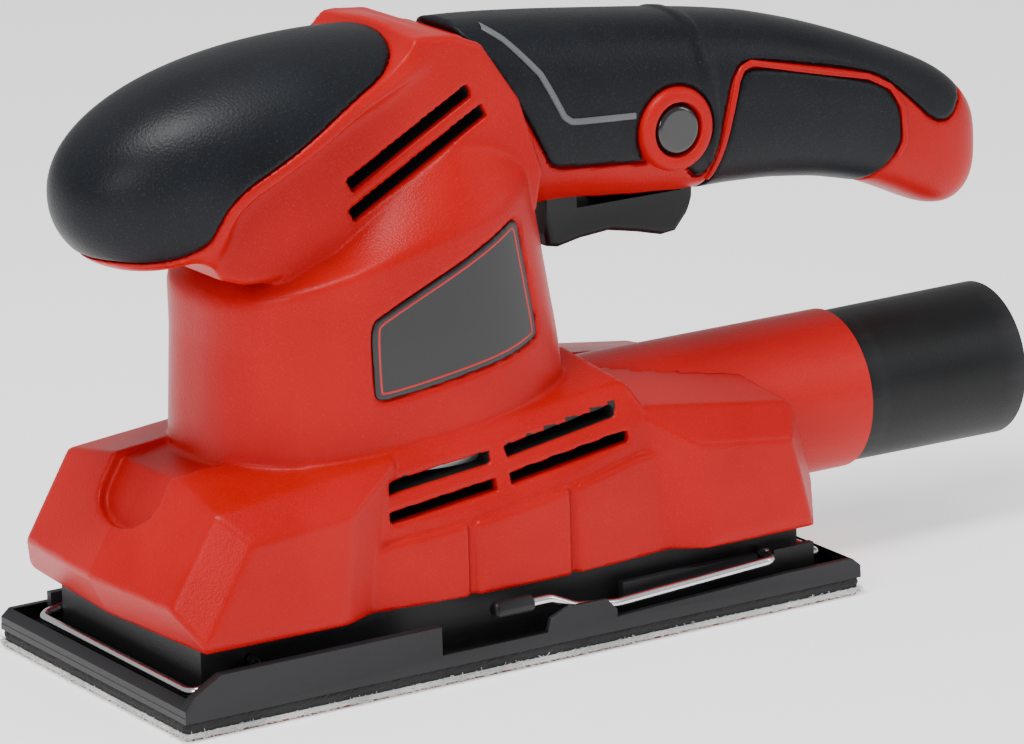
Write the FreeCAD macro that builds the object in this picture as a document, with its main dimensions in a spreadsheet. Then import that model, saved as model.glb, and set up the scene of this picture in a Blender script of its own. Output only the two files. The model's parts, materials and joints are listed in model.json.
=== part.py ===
import FreeCAD, Part
import math, os
from FreeCAD import Vector as V, Placement, Rotation
import Sketcher

# ---------------------------------------------------------------------------
# Orbital sander, third-sheet plate 187 x 90, 2 mm orbit.
# Frame: origin at the centre of the sanding face, +Z up, +X towards the dust
# outlet and the end of the handle, -Y the side with the lock-on button.
# ---------------------------------------------------------------------------
doc = FreeCAD.newDocument("orbital_sander")
sheet = doc.addObject("Spreadsheet::Sheet", "Sheet")
sheet.Label = "dimensions"

DIMS = dict(
    # sanding plate stack
    plate_len=187.0, plate_wid=90.0, plate_rad=1.5, sheet_thk=0.6, hook_thk=1.2, foam_thk=2.5,
    hook_z=0.6, foam_z=1.8, plate_z=4.3, floor_z=5.7, edge_z=7.4, wall_z=14.4, hole_rad=4.5,
    hole_x=33.0, hole_y=24.0, hole_pitch=44.0, ridge_z=13.5,
    box_half_x=82.7, box_half_y=33.6, box_top=17.5,
    # drive line
    motor_x=-12.0, ecc=1.0, pin_rad=4.97, pin_z=16.9, pin_len=10.6,
    pad_brg_bore=5.0, pad_brg_rad=13.0, pad_brg_z=17.2, pad_brg_len=8.0,
    hub_rad=16.5, hub_top=25.6, hub_bore=9.0,
    cw_hub_rad=8.5, cw_z=27.5, cw_len=6.0, cw_rad=23.0,
    fan_z=33.5, fan_len=12.0, fan_rad=26.0, fan_hub=8.5, fan_disc=1.8, blade_thk=1.6,
    low_brg_bore=4.0, low_brg_rad=11.0, low_brg_len=7.0, low_brg_z=50.6,
    up_brg_bore=3.5, up_brg_rad=9.5, up_brg_len=6.0, up_brg_z=104.5, boot_rad=11.0,
    shaft_low_rad=3.97, shaft_mid_rad=4.6, shaft_top_rad=3.47, shaft_z=27.6, shaft_low_len=30.4,
    shaft_mid_z=58.0, shaft_mid_len=46.2, shaft_top_z=104.2, shaft_top_len=8.0,
    core_rad=13.0, core_z=64.0, core_len=24.0, coil_rad=11.5, coil_low_z=59.5, coil_low_len=4.5,
    coil_top_len=3.5, comm_rad=8.5, comm_z=92.0, comm_len=11.0,
    stator_side=50.0, stator_bore=13.6, coil_wid=30.0,
    bracket_rad=31.0, bracket_z=47.9, bracket_thk=2.2, cup_rad=13.5, cup_len=7.5,
    # brushes
    brush_z=97.5, brush_wid=5.0, brush_hgt=6.5, brush_len=9.0, holder_wid=9.0, holder_len=17.5,
    # dust duct and adapter
    duct_z=38.2, duct_rad=19.9, duct_bore=17.4, duct_x=40.0, duct_len=75.4,
    adp_spigot=17.3, adp_bore=15.4, adp_spigot_x=97.0, adp_flange_x=115.7, adp_rad=19.3, adp_end=162.4,
    # handle and trigger
    trig_x=29.8, trig_len=41.4, trig_half=7.8, trig_pivot_x=34.0, trig_pivot_z=104.8, trig_pin_rad=1.5,
    lock_x=61.0, lock_z=115.2, lock_rad=6.0, lock_face=18.9, ring_rad=10.3,
    wire_rad=1.15, clamp_x=70.0, clamp_z=12.5, bar_x=88.0, bar_z=9.0, lever_y=42.4,
    post_x=44.0, post_y=25.6, post_rad=5.3,
    wall_thk=2.5, grip_thk=1.4,
)
ROWS = {}
for i, (k, val) in enumerate(DIMS.items(), start=1):
    sheet.set("A%d" % i, k)
    sheet.set("B%d" % i, str(val))
    sheet.setAlias("B%d" % i, k)
doc.recompute()


def d(k):
    return float(getattr(sheet, k))


NODES = []


def keep(obj, label):
    obj.Label = label
    NODES.append(obj)
    return obj


def feat(label, shape):
    """A piece whose form is free or faceted: one closed solid or a group of identical solids."""
    o = doc.addObject("Part::Feature", label + "_f")
    if shape.ShapeType == "Compound" and len(shape.Solids) == 1:
        shape = shape.Solids[0]
    pl = shape.Placement
    o.Shape = shape
    o.Placement = pl
    return keep(o, label)


# ---------------------------------------------------------------------------
# helpers for sketched, padded pieces
# ---------------------------------------------------------------------------
def body(label):
    b = doc.addObject("PartDesign::Body", label + "_b")
    keep(b, label)
    return b


def plane(b, role):
    for f in b.Origin.OriginFeatures:
        if f.Role == role:
            return f


def sketch(b, name, z=None, role="XY_Plane"):
    s = b.newObject("Sketcher::SketchObject", name)
    s.AttachmentSupport = [(plane(b, role), "")]
    s.MapMode = "FlatFace"
    if z is not None:
        s.setExpression("AttachmentOffset.Base.z", z)
    return s


def circle(s, rad_expr, cx=None, cy=None):
    r = 5.0
    g = s.addGeometry(Part.Circle(V(0, 0, 0), V(0, 0, 1), r), False)
    if cx is None and cy is None:
        s.addConstraint(Sketcher.Constraint("Coincident", g, 3, -1, 1))
    else:
        c = s.addConstraint(Sketcher.Constraint("DistanceX", -1, 1, g, 3, 1.0))
        s.setExpression("Constraints[%d]" % c, cx if cx is not None else "0")
        c = s.addConstraint(Sketcher.Constraint("DistanceY", -1, 1, g, 3, 1.0))
        s.setExpression("Constraints[%d]" % c, cy if cy is not None else "0")
    c = s.addConstraint(Sketcher.Constraint("Radius", g, r))
    s.setExpression("Constraints[%d]" % c, rad_expr)
    return g


def rect(s, lx, ly, cx="0", cy="0"):
    """Rectangle lx by ly (expressions) centred at cx, cy, fully constrained."""
    pts = [V(-4, -3, 0), V(4, -3, 0), V(4, 3, 0), V(-4, 3, 0)]
    g = [s.addGeometry(Part.LineSegment(pts[i], pts[(i + 1) % 4]), False) for i in range(4)]
    for i in range(4):
        s.addConstraint(Sketcher.Constraint("Coincident", g[i], 2, g[(i + 1) % 4], 1))
    s.addConstraint(Sketcher.Constraint("Horizontal", g[0]))
    s.addConstraint(Sketcher.Constraint("Horizontal", g[2]))
    s.addConstraint(Sketcher.Constraint("Vertical", g[1]))
    s.addConstraint(Sketcher.Constraint("Vertical", g[3]))
    for kind, a, e in (("DistanceX", 0, "(%s)-(%s)/2" % (cx, lx)), ("DistanceY", 0, "(%s)-(%s)/2" % (cy, ly))):
        c = s.addConstraint(Sketcher.Constraint(kind, -1, 1, g[0], 1, -1.0))
        s.setExpression("Constraints[%d]" % c, e)
    c = s.addConstraint(Sketcher.Constraint("DistanceX", g[0], 1, g[0], 2, 8.0))
    s.setExpression("Constraints[%d]" % c, lx)
    c = s.addConstraint(Sketcher.Constraint("DistanceY", g[1], 1, g[1], 2, 6.0))
    s.setExpression("Constraints[%d]" % c, ly)
    return g


def pad(b, s, length, name):
    p = b.newObject("PartDesign::Pad", name)
    p.Profile = s
    p.setExpression("Length", length)
    s.Visibility = False
    b.Tip = p
    return p


def pocket(b, s, length, name, reverse=False):
    p = b.newObject("PartDesign::Pocket", name)
    p.Profile = s
    p.setExpression("Length", length)
    p.Reversed = reverse
    b.Tip = p
    return p


def ring(label, outer, inner, z, length, x=None):
    """A flat ring or disc padded up from z; the body stands at x."""
    b = body(label)
    s = sketch(b, label + "_sk")
    circle(s, outer)
    if inner:
        circle(s, inner)
    pad(b, s, length, label + "_pad")
    b.setExpression("Placement.Base.z", z)
    if x:
        b.setExpression("Placement.Base.x", x)
    return b


S = "Sheet."

# ---------------------------------------------------------------------------
# sanding stack: abrasive sheet, hook layer, foam, each with eight dust holes
# ---------------------------------------------------------------------------


def holed_sheet(label, z, thk, rad):
    """Rectangular layer with a 4 by 2 field of dust holes through it."""
    b = body(label)
    s = sketch(b, label + "_sk")
    rect(s, S + "plate_len", S + "plate_wid")
    for ix in (-1.5, -0.5, 0.5, 1.5):
        for iy in (-1, 1):
            circle(s, rad, "%g*%shole_pitch" % (ix, S), "%d*%shole_y" % (iy, S))
    pad(b, s, thk, label + "_pad")
    b.setExpression("Placement.Base.z", z)
    return b


holed_sheet("sanding_sheet", "0", S + "sheet_thk", S + "hole_rad")
holed_sheet("hook_layer", S + "hook_z", S + "hook_thk", S + "hole_rad")
holed_sheet("foam_pad", S + "foam_z", S + "foam_thk", S + "hole_rad")

# ---------------------------------------------------------------------------
# drive line, all on the motor axis unless named otherwise
# ---------------------------------------------------------------------------
MX = S + "motor_x"
ring("pad_bearing", S + "pad_brg_rad", S + "pad_brg_bore", S + "pad_brg_z", S + "pad_brg_len", MX + "+" + S + "ecc")
ring("lower_bearing", S + "low_brg_rad", S + "low_brg_bore", S + "low_brg_z", S + "low_brg_len", MX)
ring("upper_bearing", S + "up_brg_rad", S + "up_brg_bore", S + "up_brg_z", S + "up_brg_len", MX)
ring("bearing_boot", S + "boot_rad", S + "up_brg_rad", S + "up_brg_z", S + "up_brg_len", MX)
ring("commutator", S + "comm_rad", S + "shaft_mid_rad", S + "comm_z", S + "comm_len", MX)

# stepped rotor shaft: three pads on one body
b = body("rotor_shaft")
for nm, rr, zz, ll in (("low", "shaft_low_rad", "shaft_z", "shaft_low_len"),
                       ("mid", "shaft_mid_rad", "shaft_mid_z", "shaft_mid_len"),
                       ("top", "shaft_top_rad", "shaft_top_z", "shaft_top_len")):
    s = sketch(b, "shaft_sk_" + nm, S + zz)
    circle(s, S + rr)
    pad(b, s, S + ll, "shaft_pad_" + nm)
b.setExpression("Placement.Base.x", MX)

# rotor core with twelve winding slots
b = body("rotor_core")
s = sketch(b, "core_sk", S + "core_z")
circle(s, S + "core_rad")
circle(s, S + "shaft_mid_rad")
pad(b, s, S + "core_len", "core_pad")
s = sketch(b, "core_slot", S + "core_z")
rect(s, "3.2", "1.8", S + "core_rad-1.2", "0")
k = pocket(b, s, S + "core_len", "core_cut", reverse=True)
doc.recompute()
pp = b.newObject("PartDesign::PolarPattern", "core_pattern")
pp.Originals = [k]
pp.Axis = (plane(b, "Z_Axis"), [""])
pp.Angle = 360
pp.Occurrences = 12
b.Tip = pp
b.setExpression("Placement.Base.x", MX)

# end windings of the rotor, above and below the core
lo = doc.addObject("Part::Cylinder", "coil_lo")
lo.setExpression("Radius", S + "coil_rad")
lo.setExpression("Height", S + "coil_low_len")
lo.setExpression("Placement.Base.z", S + "coil_low_z")
hi = doc.addObject("Part::Cylinder", "coil_hi")
hi.setExpression("Radius", S + "coil_rad")
hi.setExpression("Height", S + "coil_top_len")
hi.setExpression("Placement.Base.z", S + "core_z+" + S + "core_len")
fu = doc.addObject("Part::MultiFuse", "coil_fuse")
fu.Shapes = [lo, hi]
bore = doc.addObject("Part::Cylinder", "coil_bore")
bore.setExpression("Radius", S + "shaft_mid_rad")
bore.Height = 60
bore.setExpression("Placement.Base.z", S + "coil_low_z-5")
cu = doc.addObject("Part::Cut", "rotor_windings_c")
cu.Base, cu.Tool = fu, bore
cu.setExpression("Placement.Base.x", MX)
keep(cu, "rotor_windings")

# fan: hub, top disc and ten straight blades
b = body("fan")
s = sketch(b, "fan_hub_sk", S + "fan_z")
circle(s, S + "fan_hub")
circle(s, S + "shaft_low_rad")
pad(b, s, S + "fan_len", "fan_hub_pad")
s = sketch(b, "fan_disc_sk", S + "fan_z+" + S + "fan_len-" + S + "fan_disc")
circle(s, S + "fan_rad")
circle(s, S + "fan_hub-1")
pad(b, s, S + "fan_disc", "fan_disc_pad")
s = sketch(b, "fan_blade_sk", S + "fan_z+1")
rect(s, S + "fan_rad-" + S + "fan_hub+0.5", S + "blade_thk", "(" + S + "fan_rad+" + S + "fan_hub-1)/2", "0")
k = pad(b, s, S + "fan_len-1.5", "fan_blade_pad")
doc.recompute()
pp = b.newObject("PartDesign::PolarPattern", "fan_pattern")
pp.Originals = [k]
pp.Axis = (plane(b, "Z_Axis"), [""])
pp.Angle = 360
pp.Occurrences = 10
b.Tip = pp
b.setExpression("Placement.Base.x", MX)

# eccentric with its counterweight: pin one eccentricity ahead of the shaft axis
b = body("eccentric")
s = sketch(b, "ecc_hub_sk", S + "cw_z")
circle(s, S + "cw_hub_rad")
pad(b, s, S + "cw_len", "ecc_hub_pad")
s = sketch(b, "ecc_pin_sk", S + "pin_z")
circle(s, S + "pin_rad", S + "ecc", "0")
pad(b, s, S + "pin_len+0.2", "ecc_pin_pad")
s = sketch(b, "ecc_cw_sk", S + "cw_z")
a0, a1 = math.radians(100), math.radians(260)
r_i, r_o = 5.0, d("cw_rad")
arc = s.addGeometry(Part.ArcOfCircle(Part.Circle(V(0, 0, 0), V(0, 0, 1), r_o), a0, a1), False)
p0 = V(r_o * math.cos(a0), r_o * math.sin(a0), 0)
p1 = V(r_o * math.cos(a1), r_o * math.sin(a1), 0)
l0 = s.addGeometry(Part.LineSegment(p1, p0), False)
s.addConstraint(Sketcher.Constraint("Coincident", arc, 2, l0, 1))
s.addConstraint(Sketcher.Constraint("Coincident", l0, 2, arc, 1))
s.addConstraint(Sketcher.Constraint("Coincident", arc, 3, -1, 1))
c = s.addConstraint(Sketcher.Constraint("Radius", arc, r_o))
s.setExpression("Constraints[%d]" % c, S + "cw_rad")
s.addConstraint(Sketcher.Constraint("Vertical", l0))
c = s.addConstraint(Sketcher.Constraint("DistanceX", -1, 1, l0, 1, -4.0))
s.setExpression("Constraints[%d]" % c, "-" + S + "cw_rad*0.1736")
pad(b, s, S + "cw_len-1", "ecc_cw_pad")
# blind bore up into the hub for the lower end of the shaft
s = sketch(b, "ecc_bore_sk", S + "cw_z+" + S + "cw_len")
circle(s, S + "shaft_low_rad")
pocket(b, s, S + "cw_len-0.1", "ecc_bore")
# tapped hole in the pin for its retaining screw
s = sketch(b, "ecc_tap_sk", S + "pin_z")
circle(s, "2.05", S + "ecc", "0")
pocket(b, s, "9", "ecc_tap", reverse=True)
b.setExpression("Placement.Base.x", MX)

# washer and screw that hold the pad bearing on the eccentric pin
ring("retaining_washer", "7.2", "2.1", S + "pin_z-1.6", "1.5", MX + "+" + S + "ecc")
b = body("retaining_screw")
s = sketch(b, "ret_head_sk", "0")
circle(s, "4.2")
pad(b, s, "2.9", "ret_head")
s = sketch(b, "ret_shank_sk", "2.9")
circle(s, "2.0")
pad(b, s, "9.5", "ret_shank")
s = sketch(b, "ret_hex_sk", "0")
circle(s, "1.7")
pocket(b, s, "1.8", "ret_socket", reverse=True)
b.setExpression("Placement.Base.x", MX + "+" + S + "ecc")
b.setExpression("Placement.Base.z", S + "pin_z-4.5")

# stator: square stack with rounded corners, round bore and coil windows
side = d("stator_side")
bx = doc.addObject("Part::Box", "stator_box")
bx.setExpression("Length", S + "stator_side")
bx.setExpression("Width", S + "stator_side")
bx.setExpression("Height", S + "core_len")
bx.setExpression("Placement.Base.x", MX + "-" + S + "stator_side/2")
bx.setExpression("Placement.Base.y", "-" + S + "stator_side/2")
bx.setExpression("Placement.Base.z", S + "core_z")
fl = doc.addObject("Part::Fillet", "stator_fillet")
fl.Base = bx
doc.recompute()
vert = [i for i, e in enumerate(bx.Shape.Edges, start=1)
        if abs(e.Vertexes[0].X - e.Vertexes[1].X) < 1e-6 and abs(e.Vertexes[0].Y - e.Vertexes[1].Y) < 1e-6]
fl.Edges = [(i, 9.0, 9.0) for i in vert]
sb = doc.addObject("Part::Cylinder", "stator_bore_c")
sb.setExpression("Radius", S + "stator_bore")
sb.Height = 40
sb.setExpression("Placement.Base.x", MX)
sb.setExpression("Placement.Base.z", S + "core_z-5")
w1 = doc.addObject("Part::Box", "coil_window_a")
w1.setExpression("Length", S + "coil_wid")
w1.Width = 4.5
w1.Height = 40
w1.setExpression("Placement.Base.x", MX + "-" + S + "coil_wid/2")
w1.Placement.Base.y = 14.6
w1.setExpression("Placement.Base.z", S + "core_z-5")
w2 = doc.addObject("Part::Box", "coil_window_b")
w2.setExpression("Length", S + "coil_wid")
w2.Width = 4.5
w2.Height = 40
w2.setExpression("Placement.Base.x", MX + "-" + S + "coil_wid/2")
w2.Placement.Base.y = -19.1
w2.setExpression("Placement.Base.z", S + "core_z-5")
tools = doc.addObject("Part::MultiFuse", "stator_tools")
tools.Shapes = [sb, w1, w2]
st = doc.addObject("Part::Cut", "stator_cut")
st.Base, st.Tool = fl, tools
keep(st, "stator_core")


# ---------------------------------------------------------------------------
# free-form helpers: half-space blocks, superellipse lofts, prisms
# ---------------------------------------------------------------------------
BIG = 400.0


def halfcut(shape, p, n):
    """Removes everything on the side of the plane that n points to."""
    n = V(*n)
    n.normalize()
    box = Part.makeBox(BIG, BIG, BIG, V(-BIG / 2, -BIG / 2, 0))
    box.Placement = Placement(V(*p), Rotation(V(0, 0, 1), n))
    return shape.cut(box)


def plane3(a, bb, c, inside):
    a, bb, c, inside = V(*a), V(*bb), V(*c), V(*inside)
    n = (bb - a).cross(c - a)
    if n.dot(inside - a) > 0:
        n = n * -1
    return (a.x, a.y, a.z), (n.x, n.y, n.z)


def block(lo, hi, planes, inside, mirror=True):
    """Faceted block: a box cut by planes, each given by three points on the -Y side and repeated on +Y."""
    s = Part.makeBox(hi[0] - lo[0], hi[1] - lo[1], hi[2] - lo[2], V(*lo))
    for a, bb, c in planes:
        s = halfcut(s, *plane3(a, bb, c, inside))
        if mirror:
            m = [(q[0], -q[1], q[2]) for q in (a, bb, c)]
            s = halfcut(s, *plane3(m[0], m[1], m[2], (inside[0], -inside[1], inside[2])))
    return s


def superellipse(a, bb, n, count=24):
    pts = []
    for i in range(count):
        t = 2 * math.pi * (i + 0.5) / count
        c, s_ = math.cos(t), math.sin(t)
        pts.append((math.copysign(abs(c) ** (2.0 / n), c) * a, math.copysign(abs(s_) ** (2.0 / n), s_) * bb))
    return pts


def closed_spline(pts):
    c = Part.BSplineCurve()
    c.interpolate([V(*p) for p in pts], PeriodicFlag=True)
    return Part.Wire([c.toShape()])


def prism_xz(pts, y0, y1):
    """Polygon in the XZ plane carried from y0 to y1."""
    w = Part.makePolygon([V(x, y0, z) for x, z in pts] + [V(pts[0][0], y0, pts[0][1])])
    return Part.Face(w).extrude(V(0, y1 - y0, 0))


def ellipsoid(cx, cz, a, bb, c, pitch):
    """Ellipsoid on the mid plane, nose tipped by pitch degrees about Y."""
    s = Part.makeSphere(1.0, V(0, 0, 0), V(0, 1, 0))
    m = FreeCAD.Matrix()
    m.A11, m.A22, m.A33 = a, bb, c
    s = s.transformGeometry(m)
    s.Placement = Placement(V(cx, 0, cz), Rotation(V(0, 1, 0), -pitch))
    return s


def ybox(x0, x1, y0, y1, z0, z1):
    return Part.makeBox(x1 - x0, y1 - y0, z1 - z0, V(x0, y0, z0))


def ycyl(x, z, r, y0, y1):
    return Part.makeCylinder(r, y1 - y0, V(x, y0, z), V(0, 1, 0))


def zcyl(x, y, r, z0, z1):
    return Part.makeCylinder(r, z1 - z0, V(x, y, z0))


def xcyl(y, z, r, x0, x1):
    return Part.makeCylinder(r, x1 - x0, V(x0, y, z), V(1, 0, 0))


def filleted_path(pts, rads):
    """Straight runs joined by tangent arcs, for a bent wire."""
    P = [V(*p) for p in pts]
    edges = []
    start = P[0]
    for i in range(1, len(P) - 1):
        a = (P[i - 1] - P[i])
        c = (P[i + 1] - P[i])
        a.normalize()
        c.normalize()
        ang = a.getAngle(c)
        t = rads[i - 1] / math.tan(ang / 2)
        s0, s1 = P[i] + a * t, P[i] + c * t
        bis = (a + c)
        bis.normalize()
        cen = P[i] + bis * (rads[i - 1] / math.sin(ang / 2))
        mid = cen + (P[i] - cen).normalize() * rads[i - 1]
        edges.append(Part.LineSegment(start, s0).toShape())
        edges.append(Part.Arc(s0, mid, s1).toShape())
        start = s1
    edges.append(Part.LineSegment(start, P[-1]).toShape())
    return Part.Wire(edges)


def wire_sweep(pts, rads, r):
    path = filleted_path(pts, rads)
    e = path.Edges[0]
    dirn = (e.Vertexes[1].Point - e.Vertexes[0].Point)
    dirn.normalize()
    prof = Part.Wire([Part.makeCircle(r, V(*pts[0]), dirn)])
    s = path.makePipeShell([prof], True, True)
    s = Part.Solid(Part.Shell(s.Faces)) if s.ShapeType != "Solid" else s
    print("bent wire: volume %.1f, section times length %.1f" % (s.Volume, math.pi * r * r * path.Length))
    return s


# ---------------------------------------------------------------------------
# outer form of the red housing
# ---------------------------------------------------------------------------
# front skirt block, faceted, undercut below its widest line
front = block((-97, -43, 18.6), (-30, 43, 62), [
    ((-90.9, -34.9, 28.5), (-78.4, -35.5, 48.8), (-92.3, -14, 28.5)),
    ((-90.9, -34.9, 28.5), (-92.3, -14, 28.5), (-87.5, -14, 18.6)),
    ((-78.2, -35.5, 48.8), (-90.9, -34.9, 28.5), (-86.3, -42.3, 21.3)),
    ((-78.2, -35.5, 48.8), (-72.5, -43, 42.8), (-46.4, -43, 44.9)),
    ((-78.2, -35.5, 48.8), (-79.1, -14, 52.3), (-37.5, -34.5, 53.0)),
    ((-46.4, -43, 44.9), (-49.6, -43, 20.0), (-36.0, -37.5, 39.4)),
    ((-86.3, -43, 21.3), (-50, -43, 20.4), (-60, -42.0, 18.6)),
], (-60, -5, 30))
# rear skirt block
rear = block((38, -43, 18.6), (90, 43, 62), [
    ((79.6, -35.5, 48.8), (85.8, -36, 28.5), (79.6, 0, 48.8)),
    ((85.8, -36, 28.5), (85.8, 0, 28.5), (82.5, -30, 18.6)),
    ((75.5, -43, 41.8), (80.5, -43, 21.3), (85.6, -36, 28.5)),
    ((47.5, -43, 45.2), (75.5, -43, 41.8), (79.6, -35.5, 48.8)),
    ((79.6, -35.5, 48.8), (42.0, -35.5, 53.9), (78.5, -20, 51.0)),
    ((48.5, -43, 45.0), (52.4, -43, 20.8), (40.2, -38, 48.0)),
    ((52, -43, 20.8), (80, -43, 21.2), (60, -42.0, 18.6)),
], (62, -5, 30))
# recessed middle with bowed walls, a leaning vent wall above three raised panels
R = 260.0
bow_out = zcyl(0, R - 40.3, R, 18.8, 62).common(zcyl(0, -(R - 40.3), R, 18.8, 62))
mid = bow_out.common(ybox(-50, 52, -45, 45, 18.8, 70))
for p, n in (
        (plane3((-30.4, -34.9, 50.6), (31.5, -34.9, 57.3), (0, -38.6, 38.9), (0, 0, 30))),
        (plane3((-33, -32.6, 54.0), (31.0, -32.6, 60.3), (-30.4, -35.4, 50.9), (0, 0, 30))),
        (plane3((-33, -32.6, 54.0), (31.0, -32.6, 60.3), (0, -15, 60.5), (0, 0, 30)))):
    mid = halfcut(mid, p, n)
    mid = halfcut(mid, (p[0], -p[1], p[2]), (n[0], -n[1], n[2]))
mid = halfcut(mid, (36.5, 0, 57.5), (1, 0, 0.55))
skirt = front.fuse([rear, mid])

# column: superellipse sections, then the inclined shoulder up to the neck
COL = [(50.0, -16.0, 49.0, 32.0, 2.7), (62.0, -15.9, 48.4, 32.2, 2.7), (80.0, -15.6, 46.9, 32.8, 2.7)]
wires = []
for z, cx, a, bb, n in COL:
    wires.append(closed_spline([(cx + p[0], p[1], z) for p in superellipse(a, bb, n)]))
wires.append(closed_spline([(-16.0 + p[0], p[1], 107.0 + 0.25 * (-16.0 + p[0])) for p in superellipse(46.5, 33.2, 2.7)]))
column = Part.makeLoft(wires, True, False)
top = [(-14.0 + p[0], p[1], 102.0 + 0.38 * (29.0 + p[0])) for p in superellipse(43.0, 22.0, 3.0)]
shoulder = Part.makeLoft([wires[-1], closed_spline(top)], True, True)

# neck below the palm grip
neck = prism_xz([(-69, 104), (-66, 99), (-60, 97), (-48, 96.5), (22, 100), (29.5, 101), (26, 110), (16, 130),
                 (5, 144.5), (-2, 146.8), (-10, 147), (-22, 146.5), (-36, 139), (-52, 128.5), (-64, 118)], -21.8, 21.8)
long_edges = []
for e in neck.Edges:
    vs = [vv.Point for vv in e.Vertexes]
    if len(vs) == 2 and abs(vs[0].y - vs[1].y) < 1e-6:
        long_edges.append(e)
try:
    neck_r = neck.makeFillet(4.0, long_edges)
    neck = neck_r if neck_r.isValid() and neck_r.Volume > 0.8 * neck.Volume else neck
except Exception as exc:
    print("neck stays square edged:", exc)

egg = ellipsoid(-34.0, 120.4, 62.4, 31.0, 27.8, 3.3)
egg_front = halfcut(egg, (-14, 0, 144), (0.78, 0, 0.62))
egg_front = halfcut(egg_front, (-50, 0, 100), (0.62, 0, -0.78))
# palm grip: rubber cap over the upper front of the egg
palm_line = [(-110, 92), (-90, 99.5), (-83, 101), (-74, 105.2), (-69.8, 108.6), (-68.6, 113.3), (-66.8, 117), (-62.3, 121.4),
             (-50.6, 127.4), (-34.2, 136.2), (-21.5, 141.1), (-14, 146), (-10.0, 156), (-60, 170), (-120, 150)]
egg_core = ellipsoid(-34.0, 120.4, 59.9, 28.5, 25.3, 3.3)
palm_region = prism_xz(palm_line, -60, 60)
palm_grip = egg.cut(egg_core).common(palm_region)
palm_grip = sorted(palm_grip.Solids, key=lambda s_: -s_.Volume)[0]

# handle: superellipse sections across X
HS = [(8.0, 146.6, 101.0, 16.8), (20.0, 146.0, 99.9, 17.3), (35.0, 144.5, 99.4, 17.3), (52.0, 142.5, 97.6, 17.2),
      (66.0, 141.0, 96.6, 17.3), (80.0, 139.0, 96.8, 17.4), (94.0, 136.4, 96.2, 17.2), (108.0, 132.4, 94.4, 17.0),
      (121.0, 127.8, 91.3, 16.6), (132.0, 123.2, 86.6, 15.9), (141.0, 119.2, 82.2, 14.8), (148.0, 115.4, 81.0, 13.2),
      (153.0, 111.0, 83.2, 10.8), (156.4, 105.6, 87.6, 7.4)]


def handle_loft(off, x0=-1e9, x1=1e9, n=2.8):
    ws = []
    for x, zt, zb, w in HS:
        if x < x0 or x > x1:
            continue
        zc, hh = (zt + zb) / 2, (zt - zb) / 2 - off
        pts = superellipse(w - off, hh, n)
        ws.append(closed_spline([(x, p[0], zc + p[1]) for p in pts]))
    return Part.makeLoft(ws, True, False)


handle = handle_loft(0)
handle_core = handle_loft(d("grip_thk"))

LOWER = [(83.5, 127.3), (118, 119.0), (124.5, 115.5), (127.5, 110.3), (128.0, 102), (124.5, 96.5), (119, 90), (112, 80),
         (70, 80), (73.2, 100.5), (77.0, 114.7), (79.6, 124.0)]
UPPER = [(-2, 160), (-1.5, 150.8), (4.4, 146.3), (9, 141.0), (13.3, 134.2), (24.3, 114.8), (26.0, 111.6), (28.6, 110.0), (50, 108.3),
         (63, 106.6), (71.2, 99.5), (75.2, 115.5), (77.9, 125.6), (82.6, 129.2), (119.0, 120.7), (126.0, 116.6),
         (141.5, 102.5), (153.8, 113.5), (153.0, 130), (150, 160)]
grip_shell = handle.cut(handle_core)
upper_grip = grip_shell.common(prism_xz(UPPER, -60, 60))
lower_grip = grip_shell.common(prism_xz(LOWER, -60, 60))
# clear ring round the lock button
upper_full = upper_grip
upper_grip = upper_grip.cut(ycyl(d("lock_x"), d("lock_z"), d("ring_rad"), -30, 0))
ring_boss = ycyl(d("lock_x"), d("lock_z"), d("ring_rad"), -18.4, -12.0)

outer = skirt.fuse([column, shoulder, neck, egg_front.common(ybox(-110, 30, -40, 40, 90, 160)), handle])
outer = outer.removeSplitter() if outer.isValid() else outer
print("outer form: solids", len(outer.Solids), "valid", outer.isValid(), "volume %.0f" % outer.Volume)

# ---------------------------------------------------------------------------
# cavities
# ---------------------------------------------------------------------------
t = d("wall_thk")
mx = d("motor_x")
chamber = ybox(-83.5, -52, -37.2, 37.2, 10, 34).fuse([
    ybox(52, 78.5, -37.2, 37.2, 10, 34), ybox(-53, 53, -34.0, 34.0, 10, 34),
    ybox(-74, 74, -32.5, 32.5, 33.9, 42.5),
    ybox(-68, 44, -30.5, 30.5, 42.4, 46.4)])
chamber = chamber.removeSplitter()
motor_room = Part.makeLoft([closed_spline([(cx + p[0], p[1], zz) for p in superellipse(a - 3.0, bb - 3.0, 2.7)])
                            for zz, cx, a, bb in ((51.6, -16.0, 48.6, 32.0), (70.0, -15.7, 47.4, 32.4), (89.0, -15.6, 46.0, 32.6))], True, False)
brush_room = ybox(-26, 2, -29.4, 29.4, 85, 101.6)
head_low = ybox(-50, 18, -19.3, 19.3, 85, 101.6)
head_room = ybox(-46, 8, -18.6, 18.6, 112.6, 128).fuse(ybox(-30, 4, -18.6, 18.6, 127, 136)).fuse(ybox(8, 24, -14.0, 14.0, 104, 130))
palm_room = ellipsoid(-56.0, 119.0, 29.0, 20.0, 15.0, 3.3)
handle_room = handle_loft(4.2, 19.0, 125.0)
trig_slot = ybox(29.4, 72.3, -8.4, 8.4, 80, 104).fuse(ybox(29.4, 40, -8.4, 8.4, 103, 110))
through_low = zcyl(mx, 0, 29.0, 40, 60)
cavity = motor_room.fuse([brush_room, head_low, head_room, palm_room, handle_room, trig_slot])
bulkhead_hole = zcyl(mx, 0, d("boot_rad"), 101.0, 113.0)
bracket_slot = zcyl(mx, 0, d("bracket_rad") + 0.05, d("bracket_z") - 0.05, d("bracket_z") + d("bracket_thk") + 0.05)
duct_hole = xcyl(0, d("duct_z"), d("duct_rad"), d("duct_x"), 95)

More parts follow.
